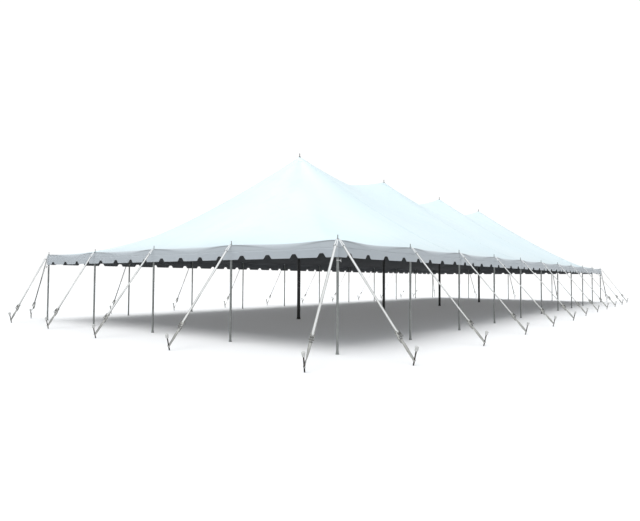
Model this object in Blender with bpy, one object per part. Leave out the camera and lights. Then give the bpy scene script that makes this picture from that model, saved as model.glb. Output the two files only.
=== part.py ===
"""Sectional pole marquee, 12.2 m by 30.5 m on plan.

Origin on the ground at the middle of the plan. X runs along the length, Y across, Z up.
Four centre poles lift five canopy sections, twenty-eight side poles hold the eave, and a
webbing guy with a ratchet runs from every side pole to a stake, two of them at each corner.
"""

import math

import bmesh
import bpy
from mathutils import Matrix, Vector

# Driving dimensions, in metres

BAY = 3.048
BAYS_LONG = 10
BAYS_WIDE = 4
KNOTS_A_BAY = 4
SECTION = 2 * BAY
EAVE_HEIGHT = 2.240
PEAK_HEIGHT = 5.960
RIDGE_SAG = 0.470
EAVE_SAG = 0.060
EAVE_BOW = 0.060
CANOPY_THICK = 0.012
HEM_HALF = 0.036
GAP = 0.0003

# Two places nearer than this are one place
CLOSE = 0.010
MERGE = 0.00001
CUTTER_DEPTH = 1.0
SMOOTH_ANGLE = math.radians(40)

# How steeply the canopy falls: on the line square to a side, and on the hip to a corner
FALL_SQUARE = 1.20
FALL_HIP = 1.77
RIDGE_FADE = 2.5
RIDGE_ROUNDING = 1.2
EAVE_FADE = 0.30
BOW_FADE = 6

VALANCE_THICK = 0.008
VALANCE_BOTTOM = 1.896
NOTCH_HALF = 0.130
NOTCH_SHOULDER = 0.045
NOTCH_RISE = 0.088

SIDE_POLE_RADIUS = 0.0254
SIDE_PIN_RADIUS = 0.0098
SIDE_PIN_ABOVE = 0.100
SIDE_FOOT_RADIUS = 0.038
SIDE_TAPER = 0.020
SIDE_SHOULDER_CLEAR = 0.0008
CENTRE_POLE_RADIUS = 0.060
CENTRE_PIN_RADIUS = 0.0125
CENTRE_PIN_ABOVE = 0.127
CENTRE_FOOT_RADIUS = 0.078
CENTRE_TAPER = 0.070
CENTRE_SHOULDER_CLEAR = 0.011
FOOT_THICK = 0.010
PIN_CLEAR = 0.0004
POLE_CLEAR = 0.001

WEB_WIDTH = 0.050
WEB_THICK = 0.004
TONGUE_BACK = 0.028
BELT_SHORT_OF_CORNER = 0.100
BELT_BREAK = 1.5 * BAY
GUY_START = 0.055

# Where each stake stands from its side pole: outwards, and along the side towards +X or +Y
FRONT_GUYS = (
    (1.780, 0.050), (1.830, 0.050), (1.830, 0.075), (1.830, 0.050), (1.725, 0.0),
    (1.675, 0.0), (1.640, 0.0), (1.610, 0.0), (1.590, 0.0),
)
BACK_GUYS = ((1.250, 0.0),) * 9
LEFT_GUYS = ((1.720, -0.075), (1.590, 0.0), (1.300, 0.075))
RIGHT_GUYS = ((1.590, 0.0),) * 3

# The same for a corner pole's end guy and side guy, but along the side away from the tent
CORNER_GUYS = {
    "front_left": ((1.860, 0.700), (1.740, 0.200)),
    "front_right": ((1.200, 0.200), (1.500, 0.100)),
    "back_left": ((1.150, -0.075), (1.250, 0.0)),
    "back_right": ((1.860, 0.700), (1.830, 0.200)),
}

LOOP_HEIGHT = 0.085
RATCHET_PLACE = 0.81
RATCHET_SIZE = (0.064, 0.220, 0.046)
STAKE_RADIUS = 0.0127
STAKE_LENGTH = 0.300
STAKE_LEAN = math.radians(13)
CAP_RADIUS = 0.034
CAP_FOOT_RADIUS = 0.0272
CAP_HEIGHT = 0.085

POLE_SIDES = 8
STAKE_SIDES = 6

# Worked out from them

HALF_LONG = BAYS_LONG * BAY / 2
HALF_WIDE = BAYS_WIDE * BAY / 2
LAST_PEAK = HALF_LONG - HALF_WIDE
CENTRE_POLES = round(2 * LAST_PEAK / SECTION) + 1
KNOT = BAY / KNOTS_A_BAY
KNOTS_TO_EAVE = round(HALF_WIDE / KNOT)
HEM_LONG = HALF_LONG + HEM_HALF
HEM_WIDE = HALF_WIDE + HEM_HALF
RISE = PEAK_HEIGHT - EAVE_HEIGHT
VALANCE_OUT = SIDE_POLE_RADIUS + POLE_CLEAR + VALANCE_THICK


def clear_scene():
    for obj in list(bpy.data.objects):
        bpy.data.objects.remove(obj, do_unlink=True)


def make_material(name, colour, roughness, metallic=0.0):
    material = bpy.data.materials.new(name)
    material.use_nodes = True
    shader = material.node_tree.nodes["Principled BSDF"]
    shader.inputs["Base Color"].default_value = (*colour, 1.0)
    shader.inputs["Roughness"].default_value = roughness
    shader.inputs["Metallic"].default_value = metallic
    return material


def make_object(name, bm, material, location=(0.0, 0.0, 0.0), smooth=False):
    """An object from a bmesh, with its faces turned outwards."""
    bmesh.ops.recalc_face_normals(bm, faces=bm.faces)
    mesh = bpy.data.meshes.new(name)
    bm.to_mesh(mesh)
    bm.free()
    if smooth:
        mesh.shade_smooth()
        mesh.set_sharp_from_angle(angle=SMOOTH_ANGLE)
    return place_mesh(name, mesh, material, location)


def place_mesh(name, mesh, material, location=(0.0, 0.0, 0.0)):
    obj = bpy.data.objects.new(name, mesh)
    obj.location = location
    if not mesh.materials:
        mesh.materials.append(material)
    bpy.context.scene.collection.objects.link(obj)
    return obj


def hide_helper(obj):
    obj.hide_render = True
    obj.display_type = "WIRE"


def add_boolean(obj, operation, other):
    modifier = obj.modifiers.new(operation.lower(), "BOOLEAN")
    modifier.operation = operation
    modifier.solver = "EXACT"
    modifier.object = other


def add_union(obj, pieces):
    """Fuses a collection of overlapping helper pieces into the object."""
    collection = bpy.data.collections.new(obj.name + "_pieces")
    bpy.context.scene.collection.children.link(collection)
    for piece in pieces:
        bpy.context.scene.collection.objects.unlink(piece)
        collection.objects.link(piece)
        hide_helper(piece)
    modifier = obj.modifiers.new("union", "BOOLEAN")
    modifier.operation = "UNION"
    modifier.solver = "EXACT"
    modifier.operand_type = "COLLECTION"
    modifier.collection = collection


# The canopy's form


def eave_wave(along, half):
    """0 at a side pole and 1 half way to the next, straight between the canopy's knots.

    The side is twice half long, and its last knot is the hem's inner edge.
    """
    place = abs(along) / KNOT
    before = min(math.floor(place), round(half / KNOT) - 1)
    reach = half - HEM_HALF if before == round(half / KNOT) - 1 else (before + 1) * KNOT
    share = min(1.0, (abs(along) - before * KNOT) / (reach - before * KNOT))
    low = math.sin(math.pi * before / KNOTS_A_BAY) ** 2
    high = math.sin(math.pi * (before + 1) / KNOTS_A_BAY) ** 2
    return low + (high - low) * share


def eave_fade(distance_share):
    """How far the eave's dip reaches up the roof, from 1 at the eave to 0."""
    return max(0.0, 1.0 - distance_share / EAVE_FADE) ** 2


def roof_height(x, y):
    """Height of the canopy's top face over a point of the plan."""
    beyond = abs(x) - LAST_PEAK
    across = abs(y)
    far = max(beyond, across)
    near = min(max(beyond, 0.0), across)
    slope_run = HALF_WIDE - HEM_HALF
    up = max(0.0, 1.0 - far / slope_run)
    side = max(0.0, 1.0 - across / slope_run)
    dip = eave_wave(x, HALF_LONG) * eave_fade(side)
    if beyond > 0.0:
        hip = near / far
        height = RISE * up ** (FALL_SQUARE + (FALL_HIP - FALL_SQUARE) * hip**2)
        end = max(0.0, 1.0 - beyond / slope_run)
        dip = min(1.0, dip + eave_wave(y, HALF_WIDE) * eave_fade(end))
    else:
        span = ((x + LAST_PEAK) / SECTION) % 1.0
        sag = (4.0 * span * (1.0 - span)) ** (1.0 + RIDGE_ROUNDING * (1.0 - up))
        height = RISE * up**FALL_SQUARE - RIDGE_SAG * sag * up**RIDGE_FADE
    return EAVE_HEIGHT + height - EAVE_SAG * dip


def bowed(x, y):
    """The plan point drawn inwards where the eave bows between its poles."""
    inwards_y = EAVE_BOW * eave_wave(x, HALF_LONG) * (abs(y) / HEM_WIDE) ** BOW_FADE
    beyond = max(0.0, abs(x) - LAST_PEAK)
    inwards_x = EAVE_BOW * eave_wave(y, HALF_WIDE) * (beyond / HEM_WIDE) ** BOW_FADE
    return x - math.copysign(inwards_x, x), y - math.copysign(inwards_y, y)


def rows_from_ridge():
    """Distances of the canopy's knots from a peak out to the hem."""
    rows = [KNOT * i for i in range(KNOTS_TO_EAVE)]
    return rows + [HALF_WIDE - HEM_HALF, HALF_WIDE + HEM_HALF]


def quarter_sheet(bm, columns, rows):
    """A top face over the given columns in X and rows in Y, its quads cut the same way."""
    grid = bmesh.ops.create_grid(
        bm, x_segments=len(columns) - 1, y_segments=len(rows) - 1, size=0.5
    )
    for vert in grid["verts"]:
        column = round((vert.co.x + 0.5) * (len(columns) - 1))
        row = round((vert.co.y + 0.5) * (len(rows) - 1))
        x, y = columns[column], rows[row]
        plan = bowed(x, y)
        vert.co = Vector((plan[0], plan[1], roof_height(x, y)))
    faces = list({face for vert in grid["verts"] for face in vert.link_faces})
    bmesh.ops.triangulate(bm, faces=faces, quad_method="FIXED")


def canopy_bmesh(columns, flip):
    """A section's sheet: one half over +Y, its mirror image, and the same again lower.

    The section lies towards +X, and flip turns it over to -X.
    """
    bm = bmesh.new()
    quarter_sheet(bm, columns, rows_from_ridge())
    half = bm.verts[:] + bm.edges[:] + bm.faces[:]
    bmesh.ops.mirror(bm, geom=half, axis="Y", merge_dist=MERGE)
    bmesh.ops.recalc_face_normals(bm, faces=bm.faces)
    grown = bmesh.ops.extrude_face_region(bm, geom=bm.faces[:])
    lowered = [item for item in grown["geom"] if isinstance(item, bmesh.types.BMVert)]
    bmesh.ops.translate(bm, verts=lowered, vec=(0.0, 0.0, -CANOPY_THICK))
    if flip:
        bmesh.ops.scale(bm, verts=bm.verts, vec=(-1.0, 1.0, 1.0))
    return bm


def pin_cutter(name, x, y, radius):
    bm = bmesh.new()
    bmesh.ops.create_cone(
        bm, cap_ends=True, segments=POLE_SIDES, radius1=radius + PIN_CLEAR,
        radius2=radius + PIN_CLEAR, depth=CUTTER_DEPTH,
    )
    cutter = make_object(name, bm, STEEL, (x, y, roof_height(x, y)))
    hide_helper(cutter)
    return cutter


def pole_places(x_low, x_high):
    """Plan points of the side poles between two X values, both ends included."""
    places = []
    for i in range(BAYS_LONG + 1):
        for j in range(BAYS_WIDE + 1):
            x, y = i * BAY - HALF_LONG, j * BAY - HALF_WIDE
            on_edge = i in (0, BAYS_LONG) or j in (0, BAYS_WIDE)
            if on_edge and x_low - CLOSE < x < x_high + CLOSE:
                places.append((x, y))
    return places


def make_canopy_section(name, x_low, x_high):
    """A section from one lacing line to the next, or from a lacing line to an end hem."""
    flip = x_low + x_high < -GAP
    start = -x_high if flip else x_low
    if max(x_high, -x_low) > LAST_PEAK + GAP:
        columns = [start + row for row in rows_from_ridge()]
    else:
        columns = [start + KNOT * i for i in range(round(SECTION / KNOT) + 1)]
        columns[-1] -= GAP / 2
    columns[0] += GAP / 2
    section = make_object(name, canopy_bmesh(columns, flip), VINYL)
    for i, (x, y) in enumerate(pole_places(x_low, x_high)):
        add_boolean(section, "DIFFERENCE", pin_cutter(f"{name}_grommet_{i}", x, y, SIDE_PIN_RADIUS))
    for x in (x_low, x_high):
        if abs(x) < LAST_PEAK + GAP:
            cutter = pin_cutter(f"{name}_peak_{x:.1f}", x, 0.0, CENTRE_PIN_RADIUS)
            add_boolean(section, "DIFFERENCE", cutter)


# Valance


def valance_columns(half_length, half_side):
    """(place, height of the lower edge) along a side, with a notch in the middle of each cell."""
    notch = (
        (-NOTCH_HALF, 0.0),
        (-NOTCH_SHOULDER, NOTCH_RISE),
        (NOTCH_SHOULDER, NOTCH_RISE),
        (NOTCH_HALF, 0.0),
    )
    cells = round(half_side / KNOT)
    corner = half_side - HEM_HALF
    columns = [(-half_length, VALANCE_BOTTOM), (-corner, VALANCE_BOTTOM)]
    for i in range(-cells, cells):
        if i > -cells:
            columns.append((i * KNOT, VALANCE_BOTTOM))
        middle = (i + 0.5) * KNOT
        columns += [(middle + shift, VALANCE_BOTTOM + rise) for shift, rise in notch]
    return columns + [(corner, VALANCE_BOTTOM), (half_length, VALANCE_BOTTOM)]


def on_knot(along, half_side):
    """Whether the eave line may turn here: at a knot, or on the hem past the last one."""
    return abs(along) > half_side - HEM_HALF - GAP or abs(along / KNOT - round(along / KNOT)) < GAP


def drop_top_points(bm, places):
    """Joins a band's faces across the given places, where its top edge runs straight."""
    uprights, points = [], []
    for edge in bm.edges:
        low, high = sorted(edge.verts, key=lambda vert: vert.co.z)
        is_upright = abs(low.co.x - high.co.x) < GAP
        if is_upright and any(abs(high.co.x - place) < GAP for place in places):
            uprights.append(edge)
            points.append(high)
    bmesh.ops.dissolve_edges(bm, edges=uprights, use_verts=False)
    bmesh.ops.dissolve_verts(bm, verts=points)


def strip_bmesh(columns, half_side, top_drop, outer, thick):
    """A band that follows the eave. Its columns give a place along it and a lower edge.

    The band faces -Y at the distance outer from the middle, drawn in where the eave bows.
    """
    bm = bmesh.new()
    grid = bmesh.ops.create_grid(bm, x_segments=len(columns) - 1, y_segments=1, size=0.5)
    for vert in grid["verts"]:
        along, low = columns[round((vert.co.x + 0.5) * (len(columns) - 1))]
        wave = eave_wave(along, half_side)
        z = EAVE_HEIGHT - EAVE_SAG * wave - top_drop if vert.co.y > 0.0 else low
        vert.co = Vector((along, EAVE_BOW * wave - outer, z))
    drop_top_points(bm, [along for along, _ in columns if not on_knot(along, half_side)])
    grown = bmesh.ops.extrude_face_region(bm, geom=bm.faces[:])
    moved = [item for item in grown["geom"] if isinstance(item, bmesh.types.BMVert)]
    bmesh.ops.translate(bm, verts=moved, vec=(0.0, thick, 0.0))
    return bm


# Each side's turn from the front, its distance from the middle and half its length
SIDES = {
    "front": (0.0, HALF_WIDE, HALF_LONG),
    "right": (math.pi / 2, HALF_LONG, HALF_WIDE),
    "back": (math.pi, HALF_WIDE, HALF_LONG),
    "left": (-math.pi / 2, HALF_LONG, HALF_WIDE),
}


def make_valances():
    for side, (turn, distance, half_side) in SIDES.items():
        outer = distance + VALANCE_OUT
        half = half_side + VALANCE_OUT
        if side in ("left", "right"):
            half -= VALANCE_THICK + GAP
        columns = valance_columns(half, half_side)
        bm = strip_bmesh(columns, half_side, CANOPY_THICK + GAP, outer, VALANCE_THICK)
        bmesh.ops.rotate(bm, verts=bm.verts, matrix=Matrix.Rotation(turn, 3, "Z"))
        make_object(f"valance_{side}", bm, VALANCE)


# Poles


def turned_bmesh(profile):
    """A solid of revolution from (radius, height) points, bottom to top."""
    bm = bmesh.new()
    verts = [bm.verts.new((radius, 0.0, z)) for radius, z in profile]
    edges = [bm.edges.new(pair) for pair in zip(verts, verts[1:])]
    bmesh.ops.spin(
        bm, geom=verts + edges, cent=(0, 0, 0), axis=(0, 0, 1), angle=math.tau,
        steps=POLE_SIDES, use_merge=True,
    )
    bmesh.ops.remove_doubles(bm, verts=bm.verts, dist=MERGE)
    bmesh.ops.holes_fill(bm, edges=bm.edges, sides=POLE_SIDES)
    return bm


def make_side_poles():
    shoulder = EAVE_HEIGHT - CANOPY_THICK - SIDE_SHOULDER_CLEAR
    profile = (
        (SIDE_FOOT_RADIUS, 0.0),
        (SIDE_FOOT_RADIUS, FOOT_THICK),
        (SIDE_POLE_RADIUS, FOOT_THICK),
        (SIDE_POLE_RADIUS, shoulder - SIDE_TAPER),
        (SIDE_PIN_RADIUS, shoulder),
        (SIDE_PIN_RADIUS, EAVE_HEIGHT + SIDE_PIN_ABOVE),
    )
    first = make_object("side_pole_front_00", turned_bmesh(profile), ALUMINIUM, smooth=True)
    mesh = first.data
    first.location = (-HALF_LONG, -HALF_WIDE, 0.0)
    for i in range(BAYS_LONG + 1):
        x = i * BAY - HALF_LONG
        if i:
            place_mesh(f"side_pole_front_{i:02d}", mesh, ALUMINIUM, (x, -HALF_WIDE, 0.0))
        place_mesh(f"side_pole_back_{i:02d}", mesh, ALUMINIUM, (x, HALF_WIDE, 0.0))
    for j in range(1, BAYS_WIDE):
        y = j * BAY - HALF_WIDE
        place_mesh(f"side_pole_left_{j}", mesh, ALUMINIUM, (-HALF_LONG, y, 0.0))
        place_mesh(f"side_pole_right_{j}", mesh, ALUMINIUM, (HALF_LONG, y, 0.0))


def make_centre_poles():
    shoulder = PEAK_HEIGHT - CANOPY_THICK - CENTRE_SHOULDER_CLEAR
    profile = (
        (CENTRE_FOOT_RADIUS, 0.0),
        (CENTRE_FOOT_RADIUS, FOOT_THICK),
        (CENTRE_POLE_RADIUS, FOOT_THICK),
        (CENTRE_POLE_RADIUS, shoulder - CENTRE_TAPER),
        (CENTRE_PIN_RADIUS, shoulder),
        (CENTRE_PIN_RADIUS, PEAK_HEIGHT + CENTRE_PIN_ABOVE),
    )
    mesh = None
    for i in range(CENTRE_POLES):
        place = (SECTION * i - LAST_PEAK, 0.0, 0.0)
        name = f"centre_pole_{i + 1}"
        if mesh is None:
            mesh = make_object(name, turned_bmesh(profile), BLACK_STEEL, place, True).data
        else:
            place_mesh(name, mesh, BLACK_STEEL, place)


# Guys


def box_piece(name, size, matrix):
    bm = bmesh.new()
    bmesh.ops.create_cube(bm, size=1.0, matrix=matrix @ Matrix.Diagonal((*size, 1.0)))
    return make_object(name, bm, WEBBING)


def leaning_piece(name, radii, foot, low, high, lean):
    """A round piece on a leaning line up from foot, with its ends level."""
    bm = bmesh.new()
    bmesh.ops.create_cone(
        bm, cap_ends=True, segments=STAKE_SIDES, radius1=radii[0], radius2=radii[1],
        depth=high - low, matrix=Matrix.Translation((0.0, 0.0, (low + high) / 2)),
    )
    for vert in bm.verts:
        vert.co += foot + lean * vert.co.z
    return make_object(name, bm, STEEL)


def along_frame(start, end):
    """A frame at the middle of a line: Y along it, X level across it, Z outwards from it."""
    run = (end - start).normalized()
    across = run.cross(Vector((0.0, 0.0, 1.0))).normalized()
    face = across.cross(run)
    turn = Matrix((across, run, face)).transposed().to_4x4()
    return Matrix.Translation((start + end) / 2) @ turn


def guy_pieces(name, pole, outwards, sideways, reach, splay):
    """One guy from its side pole to its stake, as overlapping pieces to be fused."""
    run = outwards * reach + sideways * splay
    direction = run.normalized()
    stake = pole + run
    top = pole + direction * GUY_START
    top.z = EAVE_HEIGHT + GAP + WEB_THICK / 2
    lean = direction * math.tan(STAKE_LEAN)
    end = stake + lean * LOOP_HEIGHT
    end.z = LOOP_HEIGHT
    web = along_frame(top, end)
    length = (end - top).length
    shift = Matrix.Translation((0.0, (RATCHET_PLACE - 0.5) * length, 0.0))
    cap_low = STAKE_LENGTH - CAP_HEIGHT / 2
    return [
        box_piece(f"{name}_web", (WEB_WIDTH, length, WEB_THICK), web),
        box_piece(f"{name}_ratchet", RATCHET_SIZE, web @ shift),
        leaning_piece(f"{name}_stake", (STAKE_RADIUS,) * 2, stake, 0.0, STAKE_LENGTH, lean),
        leaning_piece(
            f"{name}_cap", (CAP_FOOT_RADIUS, CAP_RADIUS), stake, cap_low,
            cap_low + CAP_HEIGHT, lean,
        ),
    ]


def make_tongue(name, pole, outwards):
    """The webbing tongue that lies on the canopy around a side pole's pin."""
    back = pole - outwards * TONGUE_BACK
    front = pole + outwards * (GUY_START + WEB_THICK)
    back.z = front.z = EAVE_HEIGHT + GAP + WEB_THICK / 2
    size = (WEB_WIDTH, (front - back).length, WEB_THICK)
    tongue = box_piece(name, size, along_frame(back, front))
    add_boolean(tongue, "DIFFERENCE", pin_cutter(f"{name}_hole", pole.x, pole.y, SIDE_PIN_RADIUS))
    return tongue


def make_side_guys(name, side, low, high, places, guys):
    """A length of the eave belt with the guys that it carries at the places."""
    turn, distance, half_side = SIDES[side]
    cells = round(half_side / KNOT)
    knots = [k * KNOT for k in range(-cells, cells + 1)]
    inner = [along for along in knots if low + CLOSE < along < high - CLOSE]
    columns = []
    for along in [low] + inner + [high]:
        dip = EAVE_SAG * eave_wave(along, half_side)
        columns.append((along, EAVE_HEIGHT - dip - WEB_WIDTH))
    outer = distance + HEM_HALF + GAP + WEB_THICK
    bm = strip_bmesh(columns, half_side, -GAP - WEB_THICK / 2, outer, WEB_THICK)
    rotation = Matrix.Rotation(turn, 3, "Z")
    bmesh.ops.rotate(bm, verts=bm.verts, matrix=rotation)
    belt = make_object(name, bm, WEBBING)
    outwards = rotation @ Vector((0.0, -1.0, 0.0))
    sideways = rotation @ Vector((1.0, 0.0, 0.0))
    rising = Vector((abs(sideways.x), abs(sideways.y), 0.0))
    pieces = []
    for i, (along, guy) in enumerate(zip(places, guys)):
        pole = outwards * distance + sideways * along
        pieces += guy_pieces(f"{name}_{i}", pole, outwards, rising, *guy)
        pieces.append(make_tongue(f"{name}_{i}_tongue", pole, outwards))
    add_union(belt, pieces)


def make_corner_guys(corner, x_sign, y_sign):
    """The two guys of a corner pole, joined by the tongue on its pin."""
    name = f"guys_corner_{corner}"
    pole = Vector((x_sign * HALF_LONG, y_sign * HALF_WIDE, 0.0))
    out_x = Vector((float(x_sign), 0.0, 0.0))
    out_y = Vector((0.0, float(y_sign), 0.0))
    tongue = make_tongue(name, pole, (out_x + out_y).normalized())
    end_guy, side_guy = CORNER_GUYS[corner]
    pieces = guy_pieces(f"{name}_end", pole, out_x, out_y, *end_guy)
    pieces += guy_pieces(f"{name}_side", pole, out_y, out_x, *side_guy)
    add_union(tongue, pieces)


def make_guys():
    ends = HALF_LONG - BELT_SHORT_OF_CORNER
    for side, all_guys in (("front", FRONT_GUYS), ("back", BACK_GUYS)):
        for part, low, high, first in (
            ("left", -ends, -BELT_BREAK - GAP / 2, 0),
            ("middle", -BELT_BREAK + GAP / 2, BELT_BREAK - GAP / 2, 3),
            ("right", BELT_BREAK + GAP / 2, ends, 6),
        ):
            places = [(first + i - 4) * BAY for i in range(3)]
            if side == "back":
                low, high = -high, -low
                places = [-place for place in places]
            guys = all_guys[first : first + 3]
            make_side_guys(f"guys_{side}_{part}", side, low, high, places, guys)
    half = HALF_WIDE - BELT_SHORT_OF_CORNER
    places = [-BAY, 0.0, BAY]
    make_side_guys("guys_left", "left", -half, half, places[::-1], LEFT_GUYS)
    make_side_guys("guys_right", "right", -half, half, places, RIGHT_GUYS)
    for x_name, x_sign in (("left", -1), ("right", 1)):
        for y_name, y_sign in (("front", -1), ("back", 1)):
            make_corner_guys(f"{y_name}_{x_name}", x_sign, y_sign)


clear_scene()

VINYL = make_material("vinyl_white", (0.86, 0.90, 0.92), 0.45)
VALANCE = make_material("vinyl_valance", (0.62, 0.66, 0.70), 0.50)
ALUMINIUM = make_material("aluminium", (0.45, 0.47, 0.47), 0.40, 1.0)
BLACK_STEEL = make_material("black_steel", (0.03, 0.03, 0.035), 0.45)
WEBBING = make_material("webbing", (0.80, 0.80, 0.78), 0.70)
STEEL = make_material("steel", (0.20, 0.20, 0.20), 0.50, 1.0)

make_canopy_section("canopy_end_left", -HEM_LONG, -LAST_PEAK)
make_canopy_section("canopy_middle_left", -LAST_PEAK, -LAST_PEAK + SECTION)
make_canopy_section("canopy_middle_centre", -SECTION / 2, SECTION / 2)
make_canopy_section("canopy_middle_right", LAST_PEAK - SECTION, LAST_PEAK)
make_canopy_section("canopy_end_right", LAST_PEAK, HEM_LONG)
make_valances()
make_side_poles()
make_centre_poles()
make_guys()
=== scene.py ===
"""The finish of a sectional pole marquee, built round its frame.

X runs along the marquee, Y across it and Z up, in metres, with the origin on the ground at
the middle of the plan. The front is -Y and the left end -X.
"""

import math

import bmesh
import bpy
from bpy.props import FloatProperty, FloatVectorProperty, IntProperty, PointerProperty
from mathutils import Matrix, Vector, noise


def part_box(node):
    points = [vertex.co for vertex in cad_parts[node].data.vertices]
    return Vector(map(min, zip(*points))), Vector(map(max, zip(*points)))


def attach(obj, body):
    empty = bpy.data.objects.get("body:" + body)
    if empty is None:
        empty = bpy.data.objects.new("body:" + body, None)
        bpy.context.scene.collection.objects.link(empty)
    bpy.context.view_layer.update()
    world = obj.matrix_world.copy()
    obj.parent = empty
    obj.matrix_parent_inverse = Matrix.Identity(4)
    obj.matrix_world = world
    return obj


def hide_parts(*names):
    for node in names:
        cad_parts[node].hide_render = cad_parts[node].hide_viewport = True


bl_info = {
    "name": "Pole marquee",
    "version": (1, 0, 0),
    "blender": (4, 5, 0),
    "location": "3D View > Sidebar > Marquee",
    "description": "Roof, valance, poles and guys of a sectional pole marquee",
    "category": "Add Mesh",
}

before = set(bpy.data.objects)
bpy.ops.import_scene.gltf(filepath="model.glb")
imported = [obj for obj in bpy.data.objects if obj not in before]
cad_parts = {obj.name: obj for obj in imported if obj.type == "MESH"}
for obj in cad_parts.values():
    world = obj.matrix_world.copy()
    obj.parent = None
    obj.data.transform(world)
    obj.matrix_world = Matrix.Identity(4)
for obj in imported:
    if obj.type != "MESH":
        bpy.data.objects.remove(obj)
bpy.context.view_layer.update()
BODY = "root"


# Places that the frame gives


def middle_of(node):
    low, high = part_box(node)
    return (low + high) / 2


CORNER = middle_of("side_pole_front_00")
HALF_LONG = -CORNER.x
HALF_WIDE = -CORNER.y
BAY = middle_of("side_pole_front_01").x - CORNER.x
LAST_PEAK = -middle_of("centre_pole_1").x
SECTION = middle_of("centre_pole_2").x + LAST_PEAK
PEAKS = [-LAST_PEAK + SECTION * i for i in range(4)]
CELL = BAY / 4

# How far a pin stands above the canopy, at a side pole and at a peak
SIDE_PIN = 0.100
PEAK_PIN = 0.127
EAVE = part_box("side_pole_front_00")[1].z - SIDE_PIN
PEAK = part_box("centre_pole_1")[1].z - PEAK_PIN
VALANCE_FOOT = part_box("valance_front")[0].z

# The canopy's form, close to its solids', with hollower hips and a rounder ridge
HEM = 0.036
HEM_LONG = HALF_LONG + HEM
HEM_WIDE = HALF_WIDE + HEM
RISE = PEAK - EAVE
# The powers of the fall from a peak, straight to the eave and down the left and right hips
FALL_SQUARE = 1.20
FALL_HIPS = (1.80, 2.02)
# How sharp the hips are at the top, and how round the ridge is half way between two peaks
HIP_ROUND = 5.0
RIDGE_ROUND = 0.15
# How far the ridge sags in each middle section, how rounded that sag is along the ridge, how
# fast it fades down the slope and how wide it opens there
RIDGE_SAGS = (0.48, 0.58, 0.51)
RIDGE_POWER = 1.38
RIDGE_FADE = 2.5
CONE = 0.45
# How far the eave dips and bows inwards between two poles, how fast both fade, and the radius
# of its fold at a pole
EAVE_DIP = 0.022
EAVE_BOW = 0.060
EAVE_FADE = 0.30
BOW_FADE = 6
EAVE_EDGE = 0.004
# Depth of the band from the eave to the valance's seam, how much of the valance is sewn under
# it, how far outside the poles' line the valance hangs, and the radius of its corners
SEAM = 0.160
SEWN = 0.012
VALANCE_OUT = 0.0420
CORNER_ROUND = 0.010
VALANCE_TOP = EAVE - SEAM + SEWN
VALANCE_DEPTH = VALANCE_TOP - VALANCE_FOOT
# Cloth from the ridge down the slope and the band
# How high flaps and patches lie on the cloth, and how thick they are
FLAP_LIFT = 0.003
PATCH_LIFT = 0.0055
TRIM_CLOTH = 0.0012

# Where each stake stands from its side pole: outwards, and along the side towards +X or +Y
FRONT_GUYS = (
    (1.780, 0.050), (1.830, 0.050), (1.830, 0.075), (1.830, 0.050), (1.725, 0.0),
    (1.675, 0.0), (1.640, 0.0), (1.610, 0.0), (1.590, 0.0),
)
BACK_GUYS = ((1.250, 0.0),) * 9
LEFT_GUYS = ((1.720, -0.075), (1.590, 0.0), (1.300, 0.075))
RIGHT_GUYS = ((1.590, 0.0),) * 3

# The same for a corner pole's end guy and side guy, but along the side away from the tent
CORNER_GUYS = {
    "front_left": ((1.860, 0.700), (1.740, 0.200)),
    "front_right": ((1.200, 0.200), (1.500, 0.100)),
    "back_left": ((1.150, -0.075), (1.250, 0.0)),
    "back_right": ((1.860, 0.700), (1.830, 0.200)),
}
# How far from the pin a guy's line starts and its ring sits, how high the eye grips the stake,
# and the ratchet's share of the way down
GUY_START = 0.055
RING_AT = 0.185
LOOP_HEIGHT = 0.085
RATCHET_PLACE = 0.81
STAKE_LEAN = math.radians(13)
STAKE_RADIUS = 0.0127
# Length of a stake above the ground, along its lean
STAKE_TOP = 0.300 / math.cos(STAKE_LEAN)

UP = Vector((0.0, 0.0, 1.0))


def linear(code):
    """The linear colour of an sRGB hex value."""
    shares = [int(code[i : i + 2], 16) / 255 for i in (1, 3, 5)]
    return [s / 12.92 if s <= 0.04045 else ((s + 0.055) / 1.055) ** 2.4 for s in shares]


def number_prop(name, description, default, **kind):
    return FloatProperty(name=name, description=description, default=default, **kind)


def length_prop(name, description, metres):
    return number_prop(name, description, metres, unit="LENGTH")


def angle_prop(name, description, degrees):
    return number_prop(name, description, math.radians(degrees), subtype="ANGLE")


def colour_prop(name, description, code):
    return FloatVectorProperty(
        name=name, description=description, default=linear(code), subtype="COLOR", size=3,
        min=0.0, max=1.0,
    )


# What a user would change


class RoofSettings(bpy.types.PropertyGroup):
    cloth: length_prop("Cloth", "Thickness of the coated cloth", 0.003)
    step: length_prop("Step", "Spacing of the roof's mesh", 0.085)
    roll: length_prop("Roll", "Radius of the eave's roll half way between two poles", 0.105)
    pin_fold: length_prop("Pin fold", "Height of the folds that fan out from a pin", 0.0045)
    peak_fold: length_prop("Peak fold", "Height of the folds round a peak", 0.006)
    long_fold: length_prop("Long fold", "Height of the folds from a peak to the eave", 0.016)
    flap: length_prop("Flap", "Width of the flap over a lacing line", 0.150)
    seam: length_prop("Seam spacing", "Width of one roll of cloth between seams", 1.524)
    outside: colour_prop("Outside", "Coated cloth, weather side", "#E4F5F8")
    shade: colour_prop("Shade", "Its greyer patches", "#D8EDF3")
    # The charcoal of the inside is painted shade, for the shaded underside
    inside: colour_prop("Inside", "Blockout side of the cloth", "#3F4143")


class ValanceSettings(bpy.types.PropertyGroup):
    cloth: length_prop("Cloth", "Thickness of the valance", 0.0022)
    notch_half: length_prop("Notch", "Half the width of a notch at its foot", 0.130)
    notch_rise: length_prop("Notch rise", "Height of a notch", 0.088)
    flute: length_prop("Flute", "How far the free edge waves in and out", 0.007)
    # The valance is the roof's white vinyl; its greys are painted shade, for cloth that hangs
    # upright out of the overhead light
    outside: colour_prop("Outside", "Coated cloth of the valance", "#ABB2B7")
    shade: colour_prop("Shade", "Its greyer patches", "#A0A7AD")


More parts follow.
